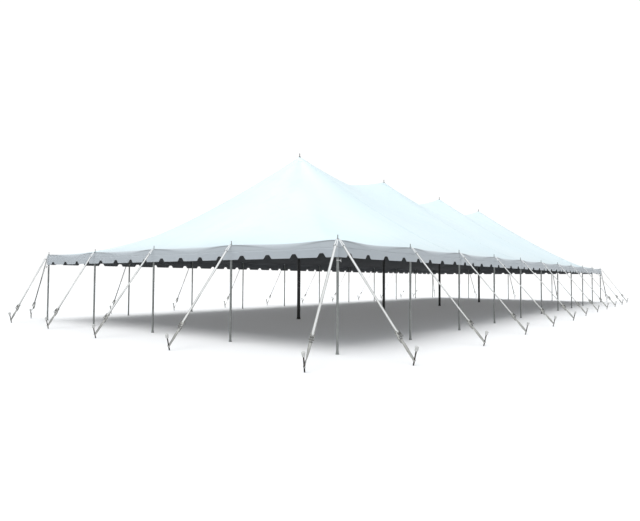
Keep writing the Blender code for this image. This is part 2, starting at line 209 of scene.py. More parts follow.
class PoleSettings(bpy.types.PropertyGroup):
    tube: length_prop("Side tube", "Radius of a side pole's tube", 0.0254)
    pin: length_prop("Side pin", "Radius of a side pole's pin", 0.0092)
    foot: length_prop("Side foot", "Radius of a side pole's foot", 0.038)
    centre: length_prop("Centre tube", "Radius of a centre pole", 0.060)
    centre_pin: length_prop("Centre pin", "Radius of a centre pole's pin", 0.0120)
    centre_foot: length_prop("Centre foot", "Radius of a centre pole's foot", 0.078)
    sides: IntProperty(name="Sides", description="Sides of a round part", default=24, min=8)
    aluminium: colour_prop("Aluminium", "Drawn aluminium tube", "#909391")
    black: colour_prop("Black", "Powder coat of the centre poles", "#161617")


class GuySettings(bpy.types.PropertyGroup):
    width: length_prop("Width", "Width of the webbing", 0.050)
    twist: angle_prop("Twist", "How far a guy has turned about its own line", 22)
    thick: length_prop("Thickness", "Thickness of one layer of webbing", 0.003)
    bridle: length_prop("Bridle", "Width of the webbing between pin and ring", 0.020)
    ring: length_prop("Ring", "Radius of the D ring", 0.034)
    doubled: number_prop("Doubled", "Share of a guy that is sewn double", 0.315, subtype="FACTOR")
    ratchet: length_prop("Ratchet", "Length of a ratchet", 0.220)
    cap: length_prop("Cap", "Radius of a stake cap", 0.036)
    white: colour_prop("White", "Polyester webbing", "#DADBD9")
    # The inner face's grey is painted shade, for the face towards the tent that the light misses
    shaded_face: colour_prop("Inner face", "The webbing's face towards the tent", "#7E7F7C")
    zinc: colour_prop("Zinc", "Zinc plate of the ratchets", "#CFCFCA")
    stake: colour_prop("Stake", "Hot rolled steel of the stakes", "#3B3A3A")
    plastic: colour_prop("Plastic", "Natural polyethylene of the caps", "#CACBC8")


class StageSettings(bpy.types.PropertyGroup):
    place: FloatVectorProperty(
        name="Place", description="Where the camera stands",
        default=(-23.288, -11.847, 1.4695), subtype="TRANSLATION",
    )
    heading: angle_prop("Heading", "Where it looks, from +X towards +Y", 37.559)
    pitch: angle_prop("Pitch", "How far it looks up", 2.080)
    roll: angle_prop("Roll", "How far it leans", 0.323)
    lens: number_prop("Lens", "Focal length on a 36 mm sensor", 28.36, unit="CAMERA")
    reach: length_prop("Reach", "Radius of the floor", 160.0)
    fill: number_prop("Fill", "Strength of the even light", 0.76)
    lamp: number_prop("Lamp", "Strength of the soft lamp", 1.85)
    under: number_prop("Under the roof", "Light on the floor, in watts a square metre", 0.6)
    upward: number_prop("Upward", "Light on the lining, in watts a square metre", 0.75)
    floor: colour_prop("Floor", "Pale floor", "#F2F2F2")


# Meshes


def spread(low, high, step):
    """Evenly spaced places from low to high, about step apart."""
    count = max(1, round((high - low) / step))
    return [low + (high - low) * i / count for i in range(count + 1)]


def faces_of(verts):
    """The faces round the vertices, each once and in the same order each run."""
    return list(dict.fromkeys(face for vert in verts for face in vert.link_faces))


def edges_of(verts):
    """The edges that meet at the vertices, as faces_of gives the faces."""
    return list(dict.fromkeys(edge for vert in verts for edge in vert.link_edges))


def laid_sheet(bm, across, along, place):
    """A grid whose vertices stand at place(u, v), with u and v in metres as its UV map."""
    columns, rows = len(across) - 1, len(along) - 1
    grid = bmesh.ops.create_grid(bm, x_segments=columns, y_segments=rows, size=0.5)
    cut = bm.loops.layers.uv.get("cut") or bm.loops.layers.uv.new("cut")
    where = {}
    for vert in grid["verts"]:
        u = across[round((vert.co.x + 0.5) * columns)]
        v = along[round((vert.co.y + 0.5) * rows)]
        where[vert] = (u, v)
        vert.co = place(u, v)
    faces = faces_of(grid["verts"])
    for face in faces:
        for loop in face.loops:
            loop[cut].uv = where[loop.vert]
    return faces


def ribbon(bm, points, sides, thick):
    """Webbing along the points, with the vector from its middle to its edge at each."""
    runs = [0.0]
    for before, after in zip(points, points[1:]):
        runs.append(runs[-1] + (after - before).length)
    half = sides[0].length

    def place(u, v):
        i = runs.index(v)
        return points[i] + sides[i] * (u / half)

    faces = laid_sheet(bm, (-half, half), runs, place)
    bmesh.ops.solidify(bm, geom=faces, thickness=thick)


def turned(bm, profile, steps, matrix=Matrix()):
    """A solid turned about Z from (radius, height) points, and then placed by the matrix."""
    verts = [bm.verts.new((radius, 0.0, z)) for radius, z in profile]
    edges = [bm.edges.new(pair) for pair in zip(verts, verts[1:])]
    bmesh.ops.spin(
        bm, geom=verts + edges, cent=(0, 0, 0), axis=(0, 0, 1), angle=math.tau, steps=steps,
        use_merge=True,
    )
    # The solid may be one of several in the mesh, so its own vertices are found by walking
    faces = faces_of(verts)
    known = set(faces)
    for face in faces:
        for near in faces_of(face.verts):
            if near not in known:
                known.add(near)
                faces.append(near)
    ring = list(dict.fromkeys(vert for face in faces for vert in face.verts))
    bmesh.ops.remove_doubles(bm, verts=ring, dist=0.00001)
    ring = [vert for vert in ring if vert.is_valid]
    bmesh.ops.transform(bm, matrix=matrix, verts=ring)


def rod(bm, start, end, radius, sides, end_radius=None):
    """A round bar from one point to another."""
    run = end - start
    turn = run.to_track_quat("Z", "Y").to_matrix().to_4x4()
    bmesh.ops.create_cone(
        bm, cap_ends=True, segments=sides, radius1=radius,
        radius2=radius if end_radius is None else end_radius, depth=run.length,
        matrix=Matrix.Translation((start + end) / 2) @ turn,
    )


def extruded(bm, faces, thick):
    """Gives flat faces square to X their thickness, and returns the new vertices."""
    grown = bmesh.ops.extrude_face_region(bm, geom=faces)
    moved = [item for item in grown["geom"] if isinstance(item, bmesh.types.BMVert)]
    bmesh.ops.translate(bm, verts=moved, vec=(thick, 0.0, 0.0))
    return moved


def plate(bm, outline, x, thick):
    """A flat plate square to X, from its outline in Y and Z, with its edges eased."""
    face = bm.faces.new([bm.verts.new((x - thick / 2, y, z)) for y, z in outline])
    moved = extruded(bm, [face], thick)
    bmesh.ops.bevel(
        bm, geom=edges_of(moved + list(face.verts)), offset=thick * 0.2, segments=1,
        affect="EDGES", profile=0.5, material=-1,
    )


def stamp(bm, template, matrix):
    """Adds a copy of a finished mesh, placed by the matrix."""
    moved = template.copy()
    moved.transform(matrix)
    bm.from_mesh(moved)
    bpy.data.meshes.remove(moved)


def mesh_of(name, bm, closed=True):
    """The mesh that a bmesh holds, with the faces of a closed one turned outwards."""
    if closed:
        bmesh.ops.recalc_face_normals(bm, faces=bm.faces)
    mesh = bpy.data.meshes.new(name)
    bm.to_mesh(mesh)
    bm.free()
    return mesh


def shown(name, data):
    """A new object of the scene."""
    obj = bpy.data.objects.new(name, data)
    bpy.context.scene.collection.objects.link(obj)
    return obj


def piece(name, bm, materials, nodes=(), closed=True, crease=35):
    """Makes the piece, rides it on the frame and hides the nodes that it stands for."""
    mesh = mesh_of(name, bm, closed)
    for material in materials:
        mesh.materials.append(material)
    mesh.shade_smooth()
    mesh.set_sharp_from_angle(angle=math.radians(crease))
    obj = shown(name, mesh)
    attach(obj, BODY)
    if nodes:
        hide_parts(*nodes)
    return obj


def thicken(obj, thick, inner_material=0):
    """Gives a sheet its thickness on its inner side."""
    solid = obj.modifiers.new("cloth", "SOLIDIFY")
    solid.thickness = thick
    solid.offset = -1.0
    solid.material_offset = inner_material


# Materials

COLOURS = {"data_type": "RGBA"}
SMOOTH = {"interpolation_type": "SMOOTHSTEP"}
# The scale at which a wave texture repeats once a metre
WAVE_METRE = 0.314


def add_node(tree, kind, settings=(), inputs=()):
    """Adds a shader node, with its settings and with a value or a link for its inputs."""
    made = tree.nodes.new("ShaderNode" + kind)
    for name, value in dict(settings).items():
        setattr(made, name, value)
    for name, value in dict(inputs).items():
        socket = made.inputs[name]
        if isinstance(value, bpy.types.NodeSocket):
            tree.links.new(value, socket)
        else:
            socket.default_value = (*value, 1.0) if socket.type == "RGBA" else value
    return made


def start_material(name, **values):
    """A new material, its node tree and its shader with the given values."""
    material = bpy.data.materials.new(name)
    material.use_nodes = True
    tree = material.node_tree
    shader = tree.nodes["Principled BSDF"]
    for key, value in values.items():
        shader.inputs[key.replace("_", " ").title().replace("Ior", "IOR")].default_value = value
    return material, tree, shader


def object_place(tree, scale=(1.0, 1.0, 1.0)):
    """Object coordinates in metres, stretched by the scale."""
    place = add_node(tree, "TexCoord").outputs["Object"]
    return add_node(tree, "Mapping", inputs={"Vector": place, "Scale": scale}).outputs[0]


def patchy(tree, place, per_metre, detail, low=0.0, high=1.0):
    """A slow noise with so many patches a metre, spread between two values."""
    noisy = add_node(
        tree, "TexNoise", inputs={"Vector": place, "Scale": per_metre, "Detail": detail}
    )
    return add_node(
        tree, "MapRange",
        inputs={"Value": noisy.outputs[0], "From Min": 0.3, "From Max": 0.7, "To Min": low,
                "To Max": high},
    ).outputs[0]


def times(colour, share):
    return [share * part for part in colour]


def tinted(tree, colour, *layers):
    """The colour with others laid over it, each by its share."""
    for share, tint in layers:
        colour = add_node(tree, "Mix", COLOURS, {0: share, 6: colour, 7: tint}).outputs[2]
    return colour


def finish(tree, shader, colour, rough, *reliefs):
    """Sets the colour, the roughness and bump from heights with their depths in metres."""
    tree.links.new(colour, shader.inputs["Base Color"])
    tree.links.new(rough, shader.inputs["Roughness"])
    bump = {"Strength": 1.0}
    for height, depth in reliefs:
        bump |= {"Height": height, "Distance": depth}
        bump["Normal"] = add_node(tree, "Bump", inputs=bump).outputs[0]
    tree.links.new(bump["Normal"], shader.inputs["Normal"])


def coated_cloth(name, light, shade, edge, seam):
    """Vinyl laminated on a polyester scrim, calendered and lightly embossed.

    A soft sheen, faint greyer patches, the scrim's square grain and flat welded seams. The
    eave's band, where the cloth turns down out of the overhead light, is painted grey as painted
    shade, and the lowest stretch of the slope a little greyer, by an attribute; a second one
    paints the sharp fold near a pole darker, as a painted shadow.
    """
    material, tree, shader = start_material(
        name, roughness=0.42, ior=1.52, coat_weight=0.4, coat_roughness=0.20
    )
    place = object_place(tree)
    cut = add_node(tree, "UVMap", {"uv_map": "cut"}).outputs[0]
    across = add_node(tree, "SeparateXYZ", inputs={0: cut}).outputs[0]
    # 25 mm welds, one roll of cloth apart
    aside = add_node(tree, "Math", {"operation": "PINGPONG"}, {0: across, 1: seam / 2})
    weld = add_node(
        tree, "MapRange", SMOOTH,
        {"Value": aside.outputs[0], "From Min": 0.010, "From Max": 0.016, "To Min": 1.0,
         "To Max": 0.0},
    ).outputs[0]
    faint = add_node(tree, "Math", {"operation": "MULTIPLY"}, {0: weld, 1: 0.35}).outputs[0]
    patches = patchy(tree, place, 0.30, 3.0, 0.0, 0.7)
    # Rain and dust leave streaks down the slope, a hand or two apart
    slope = add_node(tree, "Attribute", {"attribute_name": "slope"}).outputs["Vector"]
    washed = add_node(tree, "Mapping", inputs={"Vector": slope, "Scale": (3.2, 0.35, 1.0)})
    streaks = patchy(tree, washed.outputs[0], 1.0, 4.0, -0.35, 0.55)
    both = add_node(tree, "Math", {"operation": "MAXIMUM"}, {0: patches, 1: streaks}).outputs[0]
    # The band, and a little of the slope above it, are painted towards the valance's grey, as
    # painted shade
    band = add_node(tree, "Attribute", {"attribute_name": "band"}).outputs["Fac"]
    # The sharp fold under the eave near a pole is painted darker, as a painted shadow
    fold = add_node(tree, "Attribute", {"attribute_name": "fold"}).outputs["Fac"]
    colour = tinted(
        tree, light, (both, shade), (faint, shade), (band, edge), (fold, times(edge, 0.45))
    )
    # The scrim has a thread each 2.8 mm both ways
    scale = WAVE_METRE / 0.0028
    warp, weft = (
        add_node(
            tree, "TexWave", {"bands_direction": axis},
            {"Vector": cut, "Scale": scale, "Distortion": 0.0},
        ).outputs[1]
        for axis in ("X", "Y")
    )
    emboss = patchy(tree, place, 14.0, 3.0)
    finish(
        tree, shader, colour, patchy(tree, place, 3.0, 4.0, 0.36, 0.50), (warp, 0.00008),
        (weft, 0.00008), (emboss, 0.0012), (weld, 0.0008),
    )
    return material


def blockout_cloth(name, colour):
    """The inner face of blockout vinyl, painted matt charcoal as painted shade, with a fine
    grain.
    """
    material, tree, shader = start_material(
        name, roughness=0.85, ior=1.50, specular_ior_level=0.12
    )
    place = object_place(tree)
    patches = patchy(tree, place, 1.2, 4.0)
    # The lining is painted lighter where the cloth turns down into the band and on the lowest
    # stretch of the slope, as painted light
    band = add_node(tree, "Attribute", {"attribute_name": "band"}).outputs["Fac"]
    colour = tinted(tree, colour, (patches, times(colour, 0.8)), (band, times(colour, 2.2)))
    rough = patchy(tree, place, 8.0, 3.0, 0.80, 0.92)
    finish(tree, shader, colour, rough, (patchy(tree, place, 350.0, 2.0), 0.0002))
    return material


def woven_webbing(name, colour):
    """Polyester webbing, needle woven: ribs along it, a twill across them, dull and soft.

    Grimy in patches, lighter towards the eave, darker towards the ground and along its edges,
    and painted darker in the grooves between its ribs, as painted shade.
    """
    material, tree, shader = start_material(
        name, roughness=0.72, ior=1.50, sheen_weight=0.25, sheen_roughness=0.5
    )
    cut = add_node(tree, "UVMap", {"uv_map": "cut"}).outputs[0]
    place = object_place(tree)
    # A duller webbing, for grimy patches and for painted shade in the grooves
    grime_and_groove_shade = times(colour, 0.80)
    base = tinted(tree, colour, (patchy(tree, place, 9.0, 5.0, 0.0, 0.5), grime_and_groove_shade))
    height = add_node(tree, "SeparateXYZ", inputs={0: place}).outputs["Z"]
    across = add_node(tree, "SeparateXYZ", inputs={0: cut}).outputs[0]
    aside = add_node(tree, "Math", {"operation": "ABSOLUTE"}, {0: across}).outputs[0]
    # Lighter towards the eave, darker towards the ground below the ratchet, and darker over
    # the last 8 mm to the selvedges
    for value, start, end, before, after, tint in (
        (height, 1.35, 1.75, 0.0, 1.0, "#E4E6E6"),
        (height, 0.30, 0.62, 1.0, 0.0, "#A3A39E"),
        (aside, 0.015, 0.019, 0.0, 0.8, "#7B7A75"),
    ):
        share = add_node(
            tree, "MapRange", SMOOTH,
            {"Value": value, "From Min": start, "From Max": end, "To Min": before,
             "To Max": after},
        ).outputs[0]
        base = tinted(tree, base, (share, linear(tint)))
    # The ribs are 2.5 mm apart and the picks 1.6 mm
    ribs, picks = (
        add_node(
            tree, "TexWave", {"bands_direction": way},
            {"Vector": cut, "Scale": WAVE_METRE / spacing, "Distortion": 0.0},
        ).outputs[1]
        for way, spacing in (("X", 0.0025), ("DIAGONAL", 0.0016))
    )
    # The grooves between the ribs are painted darker, as painted shade
    groove_shade = add_node(
        tree, "MapRange",
        inputs={"Value": ribs, "From Min": 0.0, "From Max": 0.35, "To Min": 0.28, "To Max": 0.0},
    ).outputs[0]
    rough = patchy(tree, cut, 60.0, 3.0, 0.66, 0.80)
    finish(
        tree, shader, tinted(tree, base, (groove_shade, grime_and_groove_shade)), rough, (ribs, 0.0005), (picks, 0.0003)
    )
    return material


def plated_steel(name, colour):
    """Pressed steel, zinc plated and passivated: a warm grey metal, cloudy and scuffed."""
    material, tree, shader = start_material(name, metallic=1.0, roughness=0.36)
    place = object_place(tree)
    colour = tinted(tree, colour, (patchy(tree, place, 38.0, 5.0), times(colour, 0.62)))
    rough = patchy(tree, place, 90.0, 4.0, 0.26, 0.50)
    finish(tree, shader, colour, rough, (patchy(tree, place, 700.0, 2.0), 0.0001))
    return material


def rolled_steel(name, colour):
    """Hot rolled steel bar with mill scale: dark and uneven, browner where it has rusted."""
    material, tree, shader = start_material(name, metallic=0.85, roughness=0.58)
    place = object_place(tree)
    rusty = patchy(tree, place, 26.0, 6.0, -0.5, 1.0)
    # Straps and hammers have rubbed bright bands round the bar, each a few centimetres
    rubbed = patchy(tree, object_place(tree, (1.0, 1.0, 22.0)), 1.0, 1.0, -1.1, 0.9)
    colour = tinted(tree, colour, (rusty, linear("#4C3B31")), (rubbed, linear("#8C8C88")))
    rough = patchy(tree, place, 55.0, 4.0, 0.48, 0.75)
    finish(tree, shader, colour, rough, (patchy(tree, place, 240.0, 4.0), 0.0006))
    return material


def milky_plastic(name, colour):
    """Natural polyethylene, moulded: milky, waxy and slightly see-through."""
    material, tree, shader = start_material(
        name, roughness=0.44, ior=1.51, subsurface_weight=0.15, subsurface_scale=0.01,
        subsurface_radius=(1.0, 1.0, 1.0),
    )
    place = object_place(tree)
    dusty = patchy(tree, place, 20.0, 4.0, 0.0, 0.7)
    colour = tinted(tree, colour, (dusty, times(colour, 0.80)))
    rough = patchy(tree, place, 70.0, 3.0, 0.38, 0.55)
    finish(tree, shader, colour, rough, (patchy(tree, place, 500.0, 2.0), 0.0001))
    return material


def drawn_aluminium(name, colour):
    """Drawn aluminium tube, mill finish: satin grey with lines along it and handling marks."""
    material, tree, shader = start_material(name, metallic=0.75, roughness=0.45)
    lines = object_place(tree, (420.0, 420.0, 3.0))
    marks = patchy(tree, object_place(tree), 7.0, 6.0)
    colour = tinted(tree, colour, (marks, times(colour, 0.72)))
    rough = patchy(tree, lines, 1.0, 3.0, 0.34, 0.52)
    finish(tree, shader, colour, rough, (patchy(tree, lines, 1.0, 2.0), 0.0001))
    return material


def powder_coat(name, colour):
    """Steel tube, powder coated black: even, half matt, with orange peel and grey scuffs."""
    material, tree, shader = start_material(name, roughness=0.46, ior=1.50, coat_weight=0.15)
    place = object_place(tree)
    scuffs = patchy(tree, place, 11.0, 7.0, -1.2, 0.7)
    colour = tinted(tree, colour, (scuffs, linear("#2E2F30")))
    rough = patchy(tree, place, 24.0, 4.0, 0.40, 0.58)
    finish(tree, shader, colour, rough, (patchy(tree, place, 450.0, 2.0), 0.0002))
    return material


# The roof's form

RUN = HALF_WIDE - HEM
# The folds that fan out from a pin: how far they reach, how many to a turn, and how fast they
# rise and fade. A peak's folds rise and fade in the same way.
PIN_REACH = 2.0
PIN_FOLDS = 8.0
PIN_RISE = 0.12
PIN_FADE = 0.5
PEAK_RISE = 0.2
PEAK_FADE = 1.2
# How far up the slope the band's painted shade reaches, at a pole and how much more between
# two, and how far and how deeply the painted shade of the slope above it reaches
GREY_AT_POLE = 0.012
GREY_BETWEEN = 0.280
EAVE_SHADE_REACH = 1.9
EAVE_SHADE = 0.34


def pole_wave(along):
    """0 at a side pole and 1 half way to the next."""
    return math.sin(math.pi * along / BAY) ** 2


def fading(distance, reach):
    """1 at no distance, and smoothly down to 0 at the reach."""
    return max(0.0, 1.0 - distance / reach) ** 2


def eave_drop(inwards, wave):
    """How far the eave's dip and roll drop the cloth. The eave is sharp at a pole."""
    radius = EAVE_EDGE + bpy.context.scene.marquee_roof.roll * wave
    rolled = radius - math.sqrt(radius**2 - max(0.0, radius - inwards) ** 2)
    return EAVE_DIP * fading(inwards, EAVE_FADE * RUN) * wave + rolled


def roof_height(x, y):
    """Height of the canopy's top face over a point of the plan, without its folds."""
    beyond, across = abs(x) - LAST_PEAK, abs(y)
    far, near = max(beyond, across), min(max(beyond, 0.0), across)
    if near > 0.0:
        # The square about a peak is rounder at the top of the roof than at the eave
        share = min(0.97, far * (1.0 + (near / far) ** 6) ** (1 / 6) / RUN)
        power = HIP_ROUND / (1.0 - share) ** 2
        far *= (1.0 + (near / far) ** power) ** (1.0 / power)
    drop = eave_drop(HEM_WIDE - across, pole_wave(x))
    if beyond > 0.0:
        up = max(0.0, 1.0 - far / RUN)
        turn = 2.0 * near * max(beyond, across) / (near**2 + max(beyond, across) ** 2)
        hip = FALL_HIPS[0 if x < 0.0 else 1]
        height = RISE * up ** (FALL_SQUARE + (hip - FALL_SQUARE) * turn**6)
        drop = max(drop, eave_drop(HEM_WIDE - beyond, pole_wave(y)))
    else:
        section = min(2, int((x + LAST_PEAK) / SECTION))
        place = x + LAST_PEAK - section * SECTION
        along = min(place, SECTION - place)
        wide = CONE * across
        share = (math.hypot(along, wide) - wide) / (math.hypot(SECTION / 2, wide) - wide)
        up = max(0.0, 1.0 - math.hypot(far, RIDGE_ROUND * 2 * along / SECTION) / RUN)
        sag = RIDGE_SAGS[section] * (1.0 - (1.0 - share) ** RIDGE_POWER)
        height = RISE * up**FALL_SQUARE - sag * up**RIDGE_FADE
    return EAVE + height - drop


def folds(x, y):
    """The folds that the pull of pins and peaks puts in the cloth."""
    settings = bpy.context.scene.marquee_roof
    total = 0.0
    sides = (
        (x, HALF_WIDE - abs(y), 0.0 if y < 0 else 7.0),
        (y, HALF_LONG - abs(x), 13.0 if x < 0 else 19.0),
    )
    for along, inwards, seed in sides:
        off = along - round(along / BAY) * BAY
        radius = math.hypot(off, inwards)
        if 0.01 < radius < PIN_REACH and inwards > 0.0:
            stray = 2.0 * noise.noise(Vector((along, seed, radius)))
            fan = math.cos(PIN_FOLDS * math.atan2(off, inwards) + stray)
            fade = math.exp(-radius / PIN_FADE)
            total += settings.pin_fold * fan * fade * min(1.0, radius / PIN_RISE)
    peak = min(PEAKS, key=lambda place: abs(x - place))
    dx = x - peak
    radius = math.hypot(dx, y)
    if radius > 0.01:
        ray = Vector((dx / radius, y / radius, 0.0))
        middle = 1.0 if abs(x) > LAST_PEAK else max(0.0, 1.0 - (2 * dx / SECTION) ** 4)
        far = max(abs(y), abs(x) - LAST_PEAK, 0.0) / HALF_WIDE
        # Broad folds down the slope, finer ones between them, and short ones round the peak
        seed = Vector((0.0, 0.0, 0.30 * radius + 5.0 * peak))
        slow = noise.noise(ray * 3.2 + seed) + 0.5 * noise.noise(ray * 9.0 + seed * 1.7)
        total += settings.long_fold * slow * middle * math.sin(math.pi * min(1.0, far))
        ringing = noise.noise(ray * 7.0 + seed * 0.3)
        fade = math.exp(-radius / PEAK_FADE)
        total += settings.peak_fold * ringing * fade * min(1.0, radius / PEAK_RISE)
    return total


def roof_point(u, v, lift=0.0):
    """A point of the roof. Past the hem the place runs on down the band above the valance."""
    past_x, past_y = max(0.0, abs(u) - HEM_LONG), max(0.0, abs(v) - HEM_WIDE)
    x = math.copysign(min(abs(u), HEM_LONG), u)
    y = math.copysign(min(abs(v), HEM_WIDE), v)
    height = roof_height(x, y) + folds(x, y) + lift
    height += (EAVE - SEAM - height) * max(past_x, past_y) / SEAM
    # The eave bows inwards between its poles
    bow_y = (abs(y) / HEM_WIDE) ** BOW_FADE
    bow_x = (max(0.0, abs(x) - LAST_PEAK) / HEM_WIDE) ** BOW_FADE
    out_y = (lift if past_y else 0.0) - EAVE_BOW * pole_wave(x) * bow_y
    out_x = (lift if past_x else 0.0) - EAVE_BOW * pole_wave(y) * bow_x
    return Vector((x + math.copysign(1.0, x) * out_x, y + math.copysign(1.0, y) * out_y, height))


def from_peak(step):
    """Places from a peak's line out to the hem and down the band."""
    near = [0.0, 0.03, 0.07, 0.12, 0.18, 0.25]
    body = spread(0.33, HEM_WIDE - 0.36, step)
    edge = (0.29, 0.22, 0.16, 0.115, 0.086, 0.070, 0.054, 0.039, 0.026, 0.015, 0.007, 0.002, 0.0)
    band = (0.006, 0.020, 0.035, 0.060, 0.090, 0.120, 0.140, SEAM - 0.0015, SEAM)
    return near + body + [HEM_WIDE - back for back in edge] + [HEM_WIDE + past for past in band]


def from_side_to_side(step):
    """Places across the whole roof and down the band on both sides."""
    rows = from_peak(step)
    return [-row for row in reversed(rows[1:])] + rows


def mark_cloth(bm):
    """Marks the band above the valance and the lowest stretch of the slope, for their painted
    shade, the sharp fold that the band starts from near a pole, for its painted shadow, and
    each point's place across and down the slope."""
    band = bm.verts.layers.float.new("band")
    fold = bm.verts.layers.float.new("fold")
    slope = bm.verts.layers.float_vector.new("slope")
    cut = bm.loops.layers.uv["cut"]
    for vert in bm.verts:
        u, v = vert.link_loops[0][cut].uv
        past = max(abs(u) - HEM_LONG, abs(v) - HEM_WIDE)
        wave = pole_wave(u if abs(v) - HEM_WIDE > abs(u) - HEM_LONG else v)
        share = min(1.0, max(0.0, 1.0 + past / (GREY_AT_POLE + GREY_BETWEEN * wave)))
        # The lowest stretch of the slope is painted a little greyer, as painted shade above the
        # band
        eave_shade = EAVE_SHADE * min(1.0, max(0.0, 1.0 + past / EAVE_SHADE_REACH)) ** 2
        vert[band] = max(eave_shade, share**2 * (3.0 - 2.0 * share))
        # Just below the hem near a pole the cloth is painted darker, as the fold's painted shadow
        below = min(1.0, max(0.0, 1.0 - abs(past - 0.005) / 0.022))
        vert[fold] = below * (1.0 - wave) ** 1.5
        beyond = abs(u) - LAST_PEAK
        vert[slope] = (v, beyond, u) if beyond > abs(v) else (u, abs(v), v)


def drop_corners(bm):
    """Clears the band's empty corner faces and closes the corner over them."""
    empty = [face for face in bm.faces if face.calc_area() < 1e-8]
    bmesh.ops.delete(bm, geom=empty, context="FACES")
    bmesh.ops.remove_doubles(bm, verts=bm.verts, dist=0.0001)


class MARQUEE_OT_roof(bpy.types.Operator):
    """Sews the five canopy sections"""

    bl_idname = "marquee.roof"
    bl_label = "Roof"

    def execute(self, context):
        settings = context.scene.marquee_roof
        # The band is painted the valance's grey, as painted shade
        edge = context.scene.marquee_valance.outside
        outside = coated_cloth(
            "vinyl_calendered", settings.outside, settings.shade, edge, settings.seam
        )
        # The underside is painted charcoal, as painted shade
        inside = blockout_cloth("vinyl_blockout", settings.inside)
        rows, end = from_side_to_side(settings.step), from_peak(settings.step)
        inner = spread(0.0, SECTION, settings.step)
        sections = (
            ("end_left", [-LAST_PEAK - row for row in reversed(end)]),
            ("middle_left", [-LAST_PEAK + place for place in inner]),
            ("middle_centre", [-SECTION / 2 + place for place in inner]),
            ("middle_right", [LAST_PEAK - SECTION + place for place in inner]),
            ("end_right", [LAST_PEAK + row for row in end]),
        )
        for name, columns in sections:
            bm = bmesh.new()
            laid_sheet(bm, columns, rows, roof_point)
            mark_cloth(bm)
            is_end = name.startswith("end")
            if is_end:
                drop_corners(bm)
            cloth = piece(
                "roof_" + name, bm, (outside, inside), ("canopy_" + name,),
                closed=False, crease=60,
            )
            thicken(cloth, settings.cloth, 1)
            # The hips take about a seventh of the end section's cloth
            "centre_pole_1" if "left" in name else "centre_pole_4"
        return {"FINISHED"}


class MARQUEE_OT_roof_trim(bpy.types.Operator):
    """Adds the flaps over the lacing and the patches round pins and peaks"""

    bl_idname = "marquee.roof_trim"
    bl_label = "Roof trim"

    def execute(self, context):
        settings = context.scene.marquee_roof
        outside = bpy.data.materials["vinyl_calendered"]
        rows = from_side_to_side(settings.step)
        for i, peak in enumerate(PEAKS):
            bm = bmesh.new()
            columns = spread(peak - settings.flap / 2, peak + settings.flap / 2, 0.03)
            laid_sheet(bm, columns, rows, lambda u, v: roof_point(u, v, FLAP_LIFT))
            mark_cloth(bm)
            flap = piece(f"lacing_flap_{i + 1}", bm, (outside,), closed=False)
            thicken(flap, TRIM_CLOTH)
        bm = bmesh.new()
        patches = [(peak, 0.0, 0.30) for peak in PEAKS]
        patches += [(pole.x, pole.y, 0.065) for pole in side_poles().values()]
        for x, y, radius in patches:
            known = set(bm.verts)
            disc = bmesh.ops.create_circle(bm, cap_ends=True, segments=24, radius=radius)
            bmesh.ops.translate(bm, verts=disc["verts"], vec=(x, y, 0.0))
            faces = faces_of(disc["verts"])
            for _ in range(4):
                bmesh.ops.inset_region(bm, faces=faces, thickness=radius * 0.19)
            for vert in set(bm.verts) - known:
                vert.co = roof_point(vert.co.x, vert.co.y, PATCH_LIFT)
        patch = piece("reinforcing_patches", bm, (outside,), closed=False)
        thicken(patch, TRIM_CLOTH)
        return {"FINISHED"}


# The valance

# The long side's part of an end's length of valance, and the whole length
ARM = HALF_LONG - LAST_PEAK + VALANCE_OUT
ROUND_END = 2 * (ARM + HALF_WIDE + VALANCE_OUT)
# Columns either side of a notch, in halves of its width, and rows up the valance
NOTCH_COLUMNS = (
    0.0, 0.16, 0.26, 0.32, 0.38, 0.46, 0.56, 0.66, 0.76, 0.84, 0.92, 1.0, 1.6, 2.3,
)
VALANCE_ROWS = (0.0, 0.03, 0.08, 0.16, 0.28, 0.42, 0.58, 0.76, 1.0)


def side_poles():
    """The node of each side pole and the middle of its foot."""
    names = [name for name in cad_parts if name.startswith("side_pole_")]
    return {name: Vector((*middle_of(name).xy, 0.0)) for name in sorted(names)}


def round_the_end(along, sign):
    """Plan point and outward vector on the valance's line round an end.

    The place runs from the front lacing line to the corner, along the end and back again.
    """
    end = 2 * (HALF_WIDE + VALANCE_OUT)
    long, wide = HALF_LONG + VALANCE_OUT, HALF_WIDE + VALANCE_OUT
    if along < ARM:
        point, out = Vector((LAST_PEAK + along, -wide, 0.0)), Vector((0.0, -1.0, 0.0))
    elif along < ARM + end:
        point, out = Vector((long, along - ARM - wide, 0.0)), Vector((1.0, 0.0, 0.0))
    else:
        point = Vector((long - (along - ARM - end), wide, 0.0))
        out = Vector((0.0, 1.0, 0.0))
    for place, turn in ((ARM, Vector((1.0, -1.0, 0.0))), (ARM + end, Vector((1.0, 1.0, 0.0)))):
        near = (along - place) / CORNER_ROUND
        if abs(near) < 1.0:
            point -= turn * CORNER_ROUND * 0.25 * (1.0 - abs(near)) ** 2
            out = (out + turn.normalized() * (1.0 - abs(near))).normalized()
    return point * sign, out * sign


def along_cells(settings, low, high, origin):
    """Places along a length of the valance, close together at the notches.

    The origin is a place where one cell ends and the next begins.
    """
    places = {low, high}
    for cell in range(math.floor((low - origin) / CELL), math.ceil((high - origin) / CELL)):
        middle = origin + (cell + 0.5) * CELL
        for share in NOTCH_COLUMNS:
            away = share * settings.notch_half
            places |= {middle - away, middle + away}
    kept = [low]
    for place in sorted(places):
        if place < high - 0.002 and place > kept[-1] + 0.002:
            kept.append(place)
    return kept + [high]


